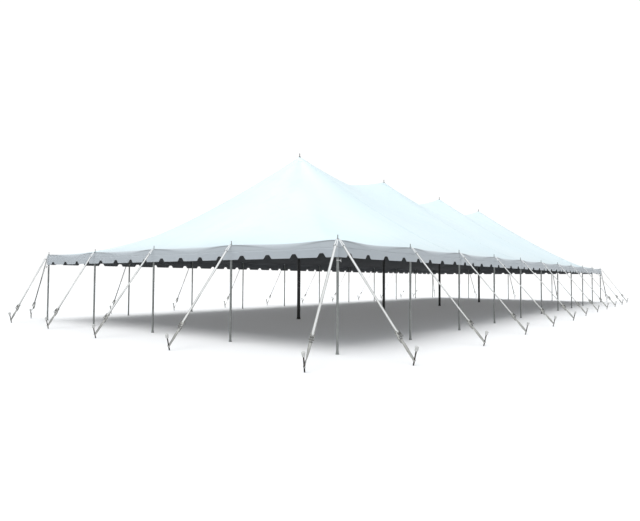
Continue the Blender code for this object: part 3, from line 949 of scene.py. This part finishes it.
def hang(settings, point, out, share):
    """A point of the valance, share of the way up from its free edge."""
    along = point.x if abs(out.y) > abs(out.x) else point.y
    cell = along / CELL - math.floor(along / CELL) - 0.5
    inside = min(1.0, max(0.0, 1.45 - 1.45 * abs(cell) * CELL / settings.notch_half))
    low = VALANCE_FOOT + settings.notch_rise * inside**2 * (3.0 - 2.0 * inside)
    # The free edge has two slow ripples, and a fold outwards at each end of a cell
    ripple = noise.noise(Vector((along * 2.1, out.x * 5, out.y * 5)))
    ripple += 0.6 * noise.noise(Vector((along * 5.3, 3.0 + out.x * 5, out.y * 5)))
    ripple += 0.5 * math.cos(math.tau * along / CELL)
    shift = settings.flute * ripple * (1.0 - share) ** 1.3 - EAVE_BOW * pole_wave(along)
    return Vector((point.x, point.y, low + (VALANCE_TOP - low) * share)) + out * shift


class MARQUEE_OT_valance(bpy.types.Operator):
    """Hangs the notched valance, one length to each canopy section"""

    bl_idname = "marquee.valance"
    bl_label = "Valance"

    def execute(self, context):
        settings = context.scene.marquee_valance
        # Its greys are painted shade
        # The valance has no welds, so their spacing is wider than the tent
        outside = coated_cloth(
            "vinyl_valance", settings.outside, settings.shade, settings.outside, 40.0
        )
        # The valance's lining is the roof's blockout painted 2.8 times lighter, as painted light
        painted_light_lining = times(context.scene.marquee_roof.inside, 2.8)
        materials = (outside, blockout_cloth("vinyl_blockout_valance_painted_light", painted_light_lining))
        for side, sign in (("right", 1), ("left", -1)):

            def place(u, v, sign=sign):
                point, out = round_the_end(u, sign)
                return hang(settings, point, out, v / VALANCE_DEPTH)

            back = ROUND_END - ARM
            places = along_cells(settings, 0.0, ARM, 0.0)[:-1]
            places += along_cells(settings, ARM, back, ROUND_END / 2)[:-1]
            places += along_cells(settings, back, ROUND_END, ROUND_END)
            near = (-CORNER_ROUND, -CORNER_ROUND / 2, CORNER_ROUND / 2, CORNER_ROUND)
            places = sorted({*places, *(corner + off for corner in (ARM, back) for off in near)})
            nodes = ("valance_" + side, "valance_front", "valance_back")
            self.hang_length(settings, "end_" + side, places, place, materials, nodes)
        for side, out_y in (("front", -1), ("back", 1)):
            for i, part in enumerate(("left", "centre", "right")[::-out_y]):
                start = out_y * (LAST_PEAK - i * SECTION)

                def place(u, v, start=start, out_y=out_y):
                    point = Vector((start - out_y * u, out_y * (HALF_WIDE + VALANCE_OUT), 0.0))
                    out = Vector((0.0, float(out_y), 0.0))
                    return hang(settings, point, out, v / VALANCE_DEPTH)

                places = along_cells(settings, 0.0, SECTION, 0.0)
                name, node = f"middle_{side}_{part}", (f"valance_{side}",)
                self.hang_length(settings, name, places, place, materials, node)
        return {"FINISHED"}

    def hang_length(self, settings, name, places, place, materials, nodes):
        bm = bmesh.new()
        laid_sheet(bm, places, [share * VALANCE_DEPTH for share in VALANCE_ROWS], place)
        cloth = piece(
            "valance_" + name, bm, materials, nodes, closed=False, crease=60
        )
        thicken(cloth, settings.cloth, 1)


# Poles

POLE_TIP = EAVE + SIDE_PIN
PEAK_TIP = PEAK + PEAK_PIN
# A pole's shoulder carries the cloth a little below its outer face
SIDE_SEAT = EAVE - 0.0055
CENTRE_SEAT = PEAK - 0.055
# Middle of the sleeve that joins a centre pole's two lengths
SLEEVE = 2.90
CLEAT_HEIGHT = EAVE - 0.405


class MARQUEE_OT_side_poles(bpy.types.Operator):
    """Turns the side poles, and clamps a rope cleat to those at the corners"""

    bl_idname = "marquee.side_poles"
    bl_label = "Side poles"

    def execute(self, context):
        settings = context.scene.marquee_poles
        tube, foot, pin, seat = settings.tube, settings.foot, settings.pin, SIDE_SEAT
        profile = [
            (0.0, 0.0), (foot - 0.003, 0.0), (foot, 0.003), (foot, 0.008), (foot - 0.002, 0.010),
            (tube + 0.011, 0.010), (tube + 0.009, 0.013), (tube + 0.0045, 0.020),
            (tube + 0.0035, 0.055), (tube + 0.002, 0.057), (tube, 0.058), (tube, seat - 0.075),
            (tube + 0.0015, seat - 0.073), (tube + 0.0015, seat - 0.050), (tube, seat - 0.048),
            (tube - 0.001, seat - 0.014), (tube - 0.004, seat - 0.002), (tube - 0.007, seat),
            (pin + 0.004, seat), (pin, seat + 0.003), (pin, POLE_TIP - 0.006),
            (pin - 0.002, POLE_TIP - 0.002), (pin - 0.005, POLE_TIP), (0.0, POLE_TIP),
        ]
        bm = bmesh.new()
        turned(bm, profile, settings.sides)
        rivet = seat - 0.030
        for side in (-1, 1):
            edge = Vector((0.0, side * (tube + 0.0015), rivet))
            rod(bm, Vector((0.0, side * (tube - 0.004), rivet)), edge, 0.0045, 10, 0.003)
        template = mesh_of("side_pole_template", bm)
        material = drawn_aluminium("aluminium_drawn", settings.aluminium)
        for name, place in side_poles().items():
            bm = bmesh.new()
            stamp(bm, template, Matrix.Translation(place))
            piece("dressed_" + name, bm, (material,), (name,))
        self.add_cleats(settings)
        return {"FINISHED"}

    def add_cleats(self, settings):
        """The cleat for a wall rope, an arm's length below the eave of each corner pole."""
        tube, height = settings.tube, CLEAT_HEIGHT
        clamp = tube + 0.0022
        bm = bmesh.new()
        bmesh.ops.create_cone(
            bm, cap_ends=True, segments=20, radius1=clamp, radius2=clamp, depth=0.022,
            matrix=Matrix.Translation((0.0, 0.0, height)),
        )
        out = tube + 0.032
        middle = Vector((0.0, -out, height))
        rod(bm, Vector((0.0, -tube, height)), middle, 0.0065, 10)
        tips = [Vector((0.0, -out - 0.010, height + side * 0.034)) for side in (-1, 1)]
        rod(bm, tips[0], middle, 0.005, 10, 0.010)
        rod(bm, middle, tips[1], 0.010, 10, 0.005)
        cleat = mesh_of("cleat_template", bm)
        bm = bmesh.new()
        points = [
            Vector((x, -out - away, height + rise)) for x, away, rise in (
                (0.012, 0.006, 0.004), (0.018, 0.012, -0.010), (0.026, 0.012, -0.034),
                (0.030, 0.008, -0.062),
            )
        ]
        for before, after in zip(points, points[1:]):
            rod(bm, before, after, 0.0050, 8)
        tail = mesh_of("tail_template", bm)
        metal, rope = bmesh.new(), bmesh.new()
        for x_sign in (-1, 1):
            for y_sign in (-1, 1):
                turn = Matrix.Rotation(math.radians(45 if y_sign < 0 else 225), 4, "Z")
                place = Matrix.Translation((x_sign * HALF_LONG, y_sign * HALF_WIDE, 0.0)) @ turn
                stamp(metal, cleat, place)
                stamp(rope, tail, place)
        cast = plated_steel("aluminium_cast", linear("#DADBDA"))
        piece("wall_rope_cleats", metal, (cast,))
        dark = powder_coat("cord_black", settings.black)
        piece("wall_rope_tails", rope, (dark,))


class MARQUEE_OT_centre_poles(bpy.types.Operator):
    """Turns the four centre poles, each with its sleeve, and the plates at the peaks"""

    bl_idname = "marquee.centre_poles"
    bl_label = "Centre poles"

    def execute(self, context):
        settings = context.scene.marquee_poles
        tube, foot, pin = settings.centre, settings.centre_foot, settings.centre_pin
        seat = CENTRE_SEAT
        profile = [
            (0.0, 0.0), (foot - 0.004, 0.0), (foot, 0.003), (foot, 0.009), (foot - 0.003, 0.012),
            (tube + 0.016, 0.012), (tube + 0.012, 0.016), (tube + 0.006, 0.030),
            (tube + 0.004, 0.090), (tube + 0.001, 0.094), (tube, 0.095), (tube, SLEEVE - 0.16),
            (tube + 0.003, SLEEVE - 0.158), (tube + 0.003, SLEEVE + 0.158), (tube, SLEEVE + 0.16),
            (tube, seat - 0.060), (tube - 0.004, seat - 0.045), (tube - 0.034, seat - 0.004),
            (tube - 0.040, seat), (pin, seat + 0.012), (pin, PEAK_TIP - 0.010),
            (pin - 0.003, PEAK_TIP - 0.003), (pin - 0.007, PEAK_TIP), (0.0, PEAK_TIP),
        ]
        bm = bmesh.new()
        turned(bm, profile, settings.sides)
        for height in (SLEEVE - 0.10, SLEEVE + 0.10):
            for side in (-1, 1):
                inner = Vector((0.0, side * tube, height))
                rod(bm, inner, inner + Vector((0.0, side * 0.012, 0.0)), 0.009, 6)
        template = mesh_of("centre_pole_template", bm)
        material = powder_coat("steel_powder_coated", settings.black)
        ring = [
            (pin + 0.001, PEAK + 0.004), (0.040, PEAK - 0.012), (0.043, PEAK - 0.010),
            (0.042, PEAK - 0.006), (pin + 0.006, PEAK + 0.011), (pin + 0.001, PEAK + 0.011),
            (pin + 0.001, PEAK + 0.004),
        ]
        plates = bmesh.new()
        for i, peak in enumerate(PEAKS):
            bm = bmesh.new()
            place = Matrix.Translation((peak, 0.0, 0.0))
            stamp(bm, template, place)
            name = f"centre_pole_{i + 1}"
            piece("dressed_" + name, bm, (material,), (name,))
            turned(plates, ring, 20, place)
        piece("peak_plates", plates, (material,))
        return {"FINISHED"}


# Guys

# How far the strap's two layers lie to either side of its middle, the radius of the ring's
# bar, and that of the strap's turn round it
LAYER = 0.004
RING_BAR = 0.0055
RING_TURN = 0.0075
# Where a guy's washer lies over its pin: (radius, height) above the eave
WASHER = (
    (0.0105, 0.0145), (0.030, 0.0145), (0.032, 0.0155), (0.031, 0.0175), (0.0105, 0.0180),
    (0.0105, 0.0145),
)


class Guy:
    """One guy: its pin, its way down to the stake and the frames of its fittings."""

    def __init__(self, pole, outwards, sideways, reach, splay):
        run = outwards * reach + sideways * splay
        self.direction = run.normalized()
        self.pin = Vector((pole.x, pole.y, EAVE))
        self.stake = Vector((pole.x, pole.y, 0.0)) + run
        self.lean = self.direction * math.tan(STAKE_LEAN)
        self.top = self.pin + self.direction * GUY_START
        self.foot = self.stake + self.lean * LOOP_HEIGHT + UP * LOOP_HEIGHT
        self.run = (self.foot - self.top).normalized()
        self.level = self.run.cross(UP).normalized()
        self.out = self.level.cross(self.run)
        # Guys turn towards the left on the long sides and towards the front at the ends
        towards = self.level.x if abs(outwards.y) > 0.5 else self.level.y
        twist = bpy.context.scene.marquee_guys.twist
        self.angle = math.copysign(twist, towards)
        self.across = self.side(self.angle)
        self.face = self.across.cross(self.run)
        self.length = (self.foot - self.top).length

    def side(self, angle):
        """The way across webbing that has turned so far about the guy's line."""
        return self.level * math.cos(angle) + self.out * math.sin(angle)

    def frame(self, distance):
        """X across the guy, Y down it and Z away from the tent, so far from its top."""
        turn = Matrix((self.across, self.run, self.face)).transposed().to_4x4()
        return Matrix.Translation(self.top + self.run * distance) @ turn

    def upright(self):
        """The stake's own frame: Z up its leaning line from the ground."""
        line = (self.lean + UP).normalized()
        turn = Matrix((self.level, line.cross(self.level), line)).transposed().to_4x4()
        return Matrix.Translation(self.stake) @ turn


def guys_of(node):
    """The guys that a node of the frame holds."""
    where = node.removeprefix("guys_")
    if where.startswith("corner_"):
        corner = where.removeprefix("corner_")
        x_sign = -1.0 if "left" in corner else 1.0
        y_sign = -1.0 if "front" in corner else 1.0
        pole = Vector((x_sign * HALF_LONG, y_sign * HALF_WIDE, 0.0))
        out_x, out_y = Vector((x_sign, 0.0, 0.0)), Vector((0.0, y_sign, 0.0))
        end_guy, side_guy = CORNER_GUYS[corner]
        return [Guy(pole, out_x, out_y, *end_guy), Guy(pole, out_y, out_x, *side_guy)]
    side, _, part = where.partition("_")
    if part:
        first = ("left", "middle", "right").index(part) * 3
        runs = (FRONT_GUYS if side == "front" else BACK_GUYS)[first : first + 3]
        out = Vector((0.0, -1.0 if side == "front" else 1.0, 0.0))
        places = [(first + i - 4) * BAY for i in range(3)]
        poles = [Vector((place, out.y * HALF_WIDE, 0.0)) for place in places]
        along = Vector((1.0, 0.0, 0.0))
    else:
        runs = LEFT_GUYS if side == "left" else RIGHT_GUYS
        out = Vector((-1.0 if side == "left" else 1.0, 0.0, 0.0))
        poles = [Vector((out.x * HALF_LONG, place, 0.0)) for place in (-BAY, 0.0, BAY)]
        along = Vector((0.0, 1.0, 0.0))
    return [Guy(pole, out, along, *run) for pole, run in zip(poles, runs)]


def ring_template(settings):
    """A forged D ring in the plane of the guy, its straight bar across the guy."""
    bm = bmesh.new()
    start = Matrix.Translation((settings.ring, 0.0, 0.0)) @ Matrix.Rotation(math.pi / 2, 4, "X")
    circle = bmesh.ops.create_circle(
        bm, cap_ends=False, segments=8, radius=RING_BAR, matrix=start
    )["verts"]
    bmesh.ops.spin(
        bm, geom=circle + edges_of(circle), cent=(0, 0, 0), axis=(0, 0, 1), angle=-math.pi,
        steps=12,
    )
    reach = Vector((settings.ring + RING_BAR, 0.0, 0.0))
    rod(bm, -reach, reach, RING_BAR, 8)
    return mesh_of("ring_template", bm)


def webbing_of(bm, guy, settings):
    """The bridle, the doubled upper strap, the lower strap and its eye round the stake."""
    known = set(bm.faces)
    thick = settings.thick
    half = guy.across * settings.width / 2
    narrow = guy.across * settings.bridle / 2
    ring = guy.frame(RING_AT).translation
    # Two legs from under the pin's washer, over the hem and down to the ring
    over_hem = ((-0.018, 0.004, 0.010), (0.020, 0.009, 0.009), (0.047, 0.013, 0.004))
    to_ring = ((0.032, 0.022, 0.002), (0.018, 0.025, 0.007))
    for sign in (-1, 1):
        legs = [
            guy.pin + guy.direction * out + guy.across * sign * aside + UP * rise
            for out, aside, rise in over_hem
        ]
        legs += [
            ring - guy.run * back + guy.across * sign * aside + guy.face * rise
            for back, aside, rise in to_ring
        ]
        ribbon(bm, legs, [narrow] * len(legs), thick)

    def lay(line, half, aside=0.0):
        """Webbing down the guy, through (distance, height) points of its frame."""
        points = [guy.frame(0.0) @ Vector((aside, y, z)) for y, z in line]
        ribbon(bm, points, [half] * len(points), thick)

    # Round the ring's bar and back on itself, sewn down
    doubled, stitched = guy.length * settings.doubled, RING_AT + 0.030
    loop = [(doubled, -0.0035), (stitched, -LAYER)]
    for i in range(7):
        angle = math.pi * (1 + i / 6)
        loop.append((RING_AT + RING_TURN * math.sin(angle), RING_TURN * math.cos(angle)))
    lay(loop + [(stitched, LAYER), (doubled + 0.012, 0.0035)], half)
    # The single strap on to the ratchet, with its slack tied back along it
    ratchet = guy.length * RATCHET_PLACE
    body = settings.ratchet / 2
    lay([(doubled - 0.05, 0.0), (ratchet - body * 0.62, 0.004)], half)
    slack = [
        (doubled + 0.55, 0.006), (doubled + 0.62, 0.010), (ratchet - 0.30, 0.012),
        (ratchet - body * 0.6, 0.018),
    ]
    lay(slack, half * 0.96, 0.003)
    # The lower strap turns on edge to hold the stake
    start, end = ratchet + body * 0.80, guy.length - 0.085
    on_edge = math.copysign(math.pi / 2, guy.angle)
    points, sides = [], []
    for i in range(13):
        share = i / 12
        angle = guy.angle + (on_edge - guy.angle) * (3 * share**2 - 2 * share**3)
        points.append(guy.top + guy.run * (start + (end - start) * share))
        sides.append(guy.side(angle) * half.length)
    ribbon(bm, points, sides, thick * 1.6)
    eye = STAKE_RADIUS + 0.0035
    ahead, aside = guy.run * eye, guy.level * eye
    before = guy.foot - guy.run * 0.120
    points = [before + guy.level * LAYER]
    for i in range(13):
        angle = math.radians(-60) + math.radians(300) * i / 12
        points.append(guy.foot + aside * math.cos(angle) + ahead * math.sin(angle))
    points.append(before - guy.level * LAYER)
    folded = guy.out * half.length * 0.8
    ribbon(bm, points, [folded] * len(points), thick)
    # The face towards the tent takes the darker webbing, as painted shade
    added = [face for face in bm.faces if face not in known]
    bmesh.ops.recalc_face_normals(bm, faces=added)
    for face in added:
        if face.normal.dot(guy.out) < -0.3:
            face.material_index = 1


def wound_webbing(bm, guy, settings):
    """The turns on the drum and the tail that lies behind the lower strap."""
    at = guy.frame(guy.length * RATCHET_PLACE - settings.ratchet * 0.27)
    line = []
    for i in range(25):
        angle = math.tau * i / 10
        radius = 0.014 + 0.0035 * i / 10
        line.append((0.0, radius * math.sin(angle), 0.010 + radius * math.cos(angle)))
    line += [
        (0.003, 0.030, -0.022), (0.003, 0.075, -0.034), (0.003, 0.120, -0.040),
        (0.003, 0.165, -0.036), (0.003, 0.205, -0.030),
    ]
    half = guy.across * settings.width * 0.48
    ribbon(bm, [at @ Vector(place) for place in line], [half] * len(line), settings.thick)


def ratchet_template(settings):
    """A pressed steel ratchet: cheeks, drum, toothed wheels, pawl and handle."""
    bm = bmesh.new()
    back, front = -settings.ratchet / 2, settings.ratchet / 2
    drum = Vector((0.0, back + 0.050, 0.010))
    sheet = 0.003
    cheek = [
        (back + 0.018, -0.006), (back + 0.030, -0.014), (front - 0.034, -0.011),
        (front - 0.018, -0.006), (front - 0.014, 0.004), (front - 0.024, 0.012),
        (0.010, 0.017), (back + 0.074, 0.034), (back + 0.036, 0.036), (back + 0.020, 0.022),
    ]
    for x in (-0.0285, 0.0285):
        plate(bm, cheek, x, sheet)
    handle = [
        (-0.020, 0.006), (0.0, -0.006), (0.020, 0.008), (0.090, 0.030), (0.128, 0.034),
        (0.130, 0.044), (0.070, 0.050), (-0.006, 0.036), (-0.022, 0.022),
    ]
    for x in (-0.0375, 0.0375):
        plate(bm, [(drum.y + y, z) for y, z in handle], x, sheet)
    plates = set(bm.faces)
    teeth, tip, root = 13, 0.031, 0.024
    for x in (-0.033, 0.033):
        hub = Vector((x - sheet / 2, drum.y, drum.z))
        wheel = bmesh.ops.create_circle(
            bm, cap_ends=True, segments=2 * teeth, radius=1.0,
            matrix=Matrix.Translation(hub) @ Matrix.Rotation(math.pi / 2, 4, "Y"),
        )["verts"]
        for i, vert in enumerate(wheel):
            vert.co = hub + (vert.co - hub) * (tip if i % 2 else root)
        extruded(bm, faces_of(wheel), sheet)
    # The drum's axle, the front bar, the handle's grip and the pawl's spring bar
    for y, z, radius, half in (
        (drum.y, drum.z, 0.0115, 0.043),
        (front - 0.030, 0.002, 0.0065, 0.034),
        (drum.y + 0.118, 0.040, 0.0100, 0.046),
        (drum.y + 0.060, 0.036, 0.0045, 0.039),
    ):
        rod(bm, Vector((-half, y, z)), Vector((half, y, z)), radius, 14)
    # The two pawls
    for y, z, deep, long in ((0.052, 0.030, 0.004, 0.042), (0.012, 0.006, 0.003, 0.020)):
        size = Matrix.Diagonal((0.066, long, deep, 1.0))
        place = Matrix.Translation((0.0, drum.y + y, z))
        bmesh.ops.create_cube(bm, size=1.0, matrix=place @ size)
    # The parts among the plates take the darker steel, as painted shade between the plates
    for face in set(bm.faces) - plates:
        face.material_index = 1
    return mesh_of("ratchet_template", bm)


def stake_template():
    """A drift pin stake: a bar with a hammered head, square with the ground."""
    bm = bmesh.new()
    radius, top = STAKE_RADIUS, STAKE_TOP
    profile = [
        (0.0, -0.001), (radius, -0.001), (radius, top - 0.030), (radius + 0.001, top - 0.024),
        (radius + 0.006, top - 0.018), (radius + 0.007, top - 0.008),
        (radius + 0.003, top - 0.002), (0.0, top),
    ]
    turned(bm, profile, 16)
    return mesh_of("stake_template", bm)


def cap_template(settings):
    """A moulded safety cap: a domed cup with ribs down its wall, open below."""
    bm = bmesh.new()
    wide, low = settings.cap, STAKE_TOP - 0.050
    bore, floor = STAKE_RADIUS + 0.0085, low + 0.060
    profile = [(bore, floor), (bore, low)]
    profile += [
        (wide * share, low + rise) for share, rise in (
            (0.74, 0.0), (0.78, 0.004), (0.86, 0.030), (0.90, 0.052), (1.0, 0.056),
            (1.0, 0.068), (0.93, 0.077), (0.72, 0.084), (0.40, 0.088), (0.0, 0.089),
        )
    ]
    turned(bm, profile, 24)
    for i in range(8):
        angle = math.tau * i / 8
        side = Vector((math.cos(angle), math.sin(angle), 0.0))
        rod(bm, side * wide * 0.76 + UP * low, side * wide * 0.90 + UP * (low + 0.056), 0.0022, 6)
    disc = bmesh.ops.create_circle(bm, cap_ends=True, segments=24, radius=bore)
    bmesh.ops.translate(bm, verts=disc["verts"], vec=(0.0, 0.0, floor))
    bmesh.ops.remove_doubles(bm, verts=bm.verts, dist=0.00005)
    return mesh_of("cap_template", bm)


class MARQUEE_OT_guys(bpy.types.Operator):
    """Rigs the guys: webbing, rings, ratchets, stakes and caps"""

    bl_idname = "marquee.guys"
    bl_label = "Guys"

    def execute(self, context):
        settings = context.scene.marquee_guys
        webbing = woven_webbing("polyester_webbing", settings.white)
        # The darker webbing is painted shade, for the face towards the tent
        shaded_face = woven_webbing("polyester_webbing_painted_shade", settings.shaded_face)
        steel = plated_steel("steel_zinc_plated", settings.zinc)
        forged = plated_steel("steel_forged_dull", linear("#8E8F8E"))
        # A darker steel, as painted shade for a ratchet's parts among its plates
        shaded_parts = plated_steel("steel_zinc_painted_shade", linear("#888885"))
        bar = rolled_steel("steel_hot_rolled", settings.stake)
        plastic = milky_plastic("polyethylene_moulded", settings.plastic)
        ring, ratchet = ring_template(settings), ratchet_template(settings)
        stake, cap = stake_template(), cap_template(settings)
        nodes = sorted(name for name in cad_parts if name.startswith("guys_"))
        for node in nodes:
            where = node.removeprefix("guys_")
            straps, rings, ratchets, stakes, caps = (bmesh.new() for _ in range(5))
            guys = guys_of(node)
            if not guys:
                raise RuntimeError(node + " holds no guy")
            for guy in guys:
                webbing_of(straps, guy, settings)
                wound_webbing(straps, guy, settings)
                stamp(rings, ring, guy.frame(RING_AT))
                turned(rings, WASHER, 20, Matrix.Translation(guy.pin))
                stamp(ratchets, ratchet, guy.frame(guy.length * RATCHET_PLACE))
                stamp(stakes, stake, guy.upright())
                stamp(caps, cap, guy.upright())
            piece("webbing_" + where, straps, (webbing, shaded_face), (node,))
            piece("rings_" + where, rings, (forged,))
            piece("ratchets_" + where, ratchets, (steel, shaded_parts))
            piece("stakes_" + where, stakes, (bar,))
            piece("stake_caps_" + where, caps, (plastic,))
        return {"FINISHED"}


# Stage


class MARQUEE_OT_stage(bpy.types.Operator):
    """Lays the floor, hangs the backdrop, lights them and sets the camera"""

    bl_idname = "marquee.stage"
    bl_label = "Stage"

    def execute(self, context):
        settings = context.scene.marquee_stage
        scene = context.scene
        floor, _, shader = start_material("floor_matt", roughness=0.9)
        shader.inputs["Base Color"].default_value = (*settings.floor, 1.0)
        bm = bmesh.new()
        bmesh.ops.create_circle(bm, cap_ends=True, segments=96, radius=settings.reach)
        bmesh.ops.translate(bm, verts=bm.verts, vec=(0.0, 0.0, -0.002))
        self.add_stage("floor", bm, floor)
        world = bpy.data.worlds.new("studio")
        world.use_nodes = True
        # Even light, a little blue
        back = world.node_tree.nodes["Background"]
        back.inputs["Color"].default_value = (0.94, 0.97, 1.0, 1.0)
        back.inputs["Strength"].default_value = settings.fill
        scene.world = world
        # A white wall that the camera sees and that lights nothing
        white, _, shader = start_material("backdrop_white", emission_strength=1.0)
        shader.inputs["Base Color"].default_value = (0.0, 0.0, 0.0, 1.0)
        shader.inputs["Emission Color"].default_value = (1.0, 1.0, 1.0, 1.0)
        bm = bmesh.new()
        bmesh.ops.create_uvsphere(bm, u_segments=64, v_segments=32, radius=settings.reach - 1.0)
        bmesh.ops.reverse_faces(bm, faces=bm.faces)
        backdrop = self.add_stage("backdrop", bm, white)
        backdrop.visible_diffuse = backdrop.visible_glossy = False
        backdrop.visible_transmission = backdrop.visible_shadow = False
        lamp = bpy.data.lights.new("overhead_light", "SUN")
        lamp.energy = settings.lamp
        lamp.angle = math.radians(60)
        light = shown("overhead_light", lamp)
        light.rotation_euler = (math.radians(-5), math.radians(-17), 0.0)
        # Two wide lamps under the roof, one for the floor and one for the lining
        for name, strength, height, turn in (
            ("lamp_under_roof", settings.under, VALANCE_FOOT + 0.2, 0.0),
            ("lamp_on_the_lining", settings.upward, 0.4, math.pi),
        ):
            lamp = bpy.data.lights.new(name, "AREA")
            lamp.shape = "RECTANGLE"
            lamp.size, lamp.size_y = 2 * HALF_LONG - 3.0, 2 * HALF_WIDE - 3.0
            lamp.energy = strength * lamp.size * lamp.size_y
            light = shown(name, lamp)
            light.location = (0.0, 0.0, height)
            light.rotation_euler = (turn, 0.0, 0.0)
            light.visible_camera = light.visible_glossy = False
        lens = bpy.data.cameras.new("camera")
        lens.sensor_width = 36.0
        lens.lens = settings.lens
        lens.clip_end = 1000.0
        camera = shown("camera", lens)
        ahead = Matrix.Rotation(settings.heading - math.pi / 2, 4, "Z")
        tilt = Matrix.Rotation(math.pi / 2 + settings.pitch, 4, "X")
        lean = Matrix.Rotation(settings.roll, 4, "Z")
        camera.matrix_world = Matrix.Translation(settings.place) @ ahead @ tilt @ lean
        scene.camera = camera
        scene.view_settings.view_transform = "Standard"
        return {"FINISHED"}

    def add_stage(self, name, bm, material):
        mesh = mesh_of(name, bm, closed=False)
        mesh.materials.append(material)
        obj = shown(name, mesh)
        return obj


class MARQUEE_PT_sidebar(bpy.types.Panel):
    """Lists what the marquee is made of"""

    bl_label = "Pole marquee"
    bl_space_type = "VIEW_3D"
    bl_region_type = "UI"
    bl_category = "Marquee"

    def draw(self, context):
        for group, operators in STEPS:
            box = self.layout.box()
            settings = getattr(context.scene, group)
            for name in settings.bl_rna.properties.keys():
                if name not in ("rna_type", "name"):
                    box.prop(settings, name)
            for operator in operators:
                box.operator(operator.bl_idname)


STEPS = (
    ("marquee_roof", (MARQUEE_OT_roof, MARQUEE_OT_roof_trim)),
    ("marquee_valance", (MARQUEE_OT_valance,)),
    ("marquee_poles", (MARQUEE_OT_side_poles, MARQUEE_OT_centre_poles)),
    ("marquee_guys", (MARQUEE_OT_guys,)),
    ("marquee_stage", (MARQUEE_OT_stage,)),
)
GROUPS = {
    "marquee_roof": RoofSettings,
    "marquee_valance": ValanceSettings,
    "marquee_poles": PoleSettings,
    "marquee_guys": GuySettings,
    "marquee_stage": StageSettings,
}
OPERATORS = [operator for _, operators in STEPS for operator in operators]


def register():
    for cls in [*GROUPS.values(), *OPERATORS, MARQUEE_PT_sidebar]:
        bpy.utils.register_class(cls)
    for name, group in GROUPS.items():
        setattr(bpy.types.Scene, name, PointerProperty(type=group))


def unregister():
    for name in GROUPS:
        delattr(bpy.types.Scene, name)
    for cls in reversed([*GROUPS.values(), *OPERATORS, MARQUEE_PT_sidebar]):
        bpy.utils.unregister_class(cls)


def main():
    register()
    for operator in OPERATORS:
        group, action = operator.bl_idname.split(".")
        getattr(getattr(bpy.ops, group), action)()


if __name__ == "__main__":
    main()
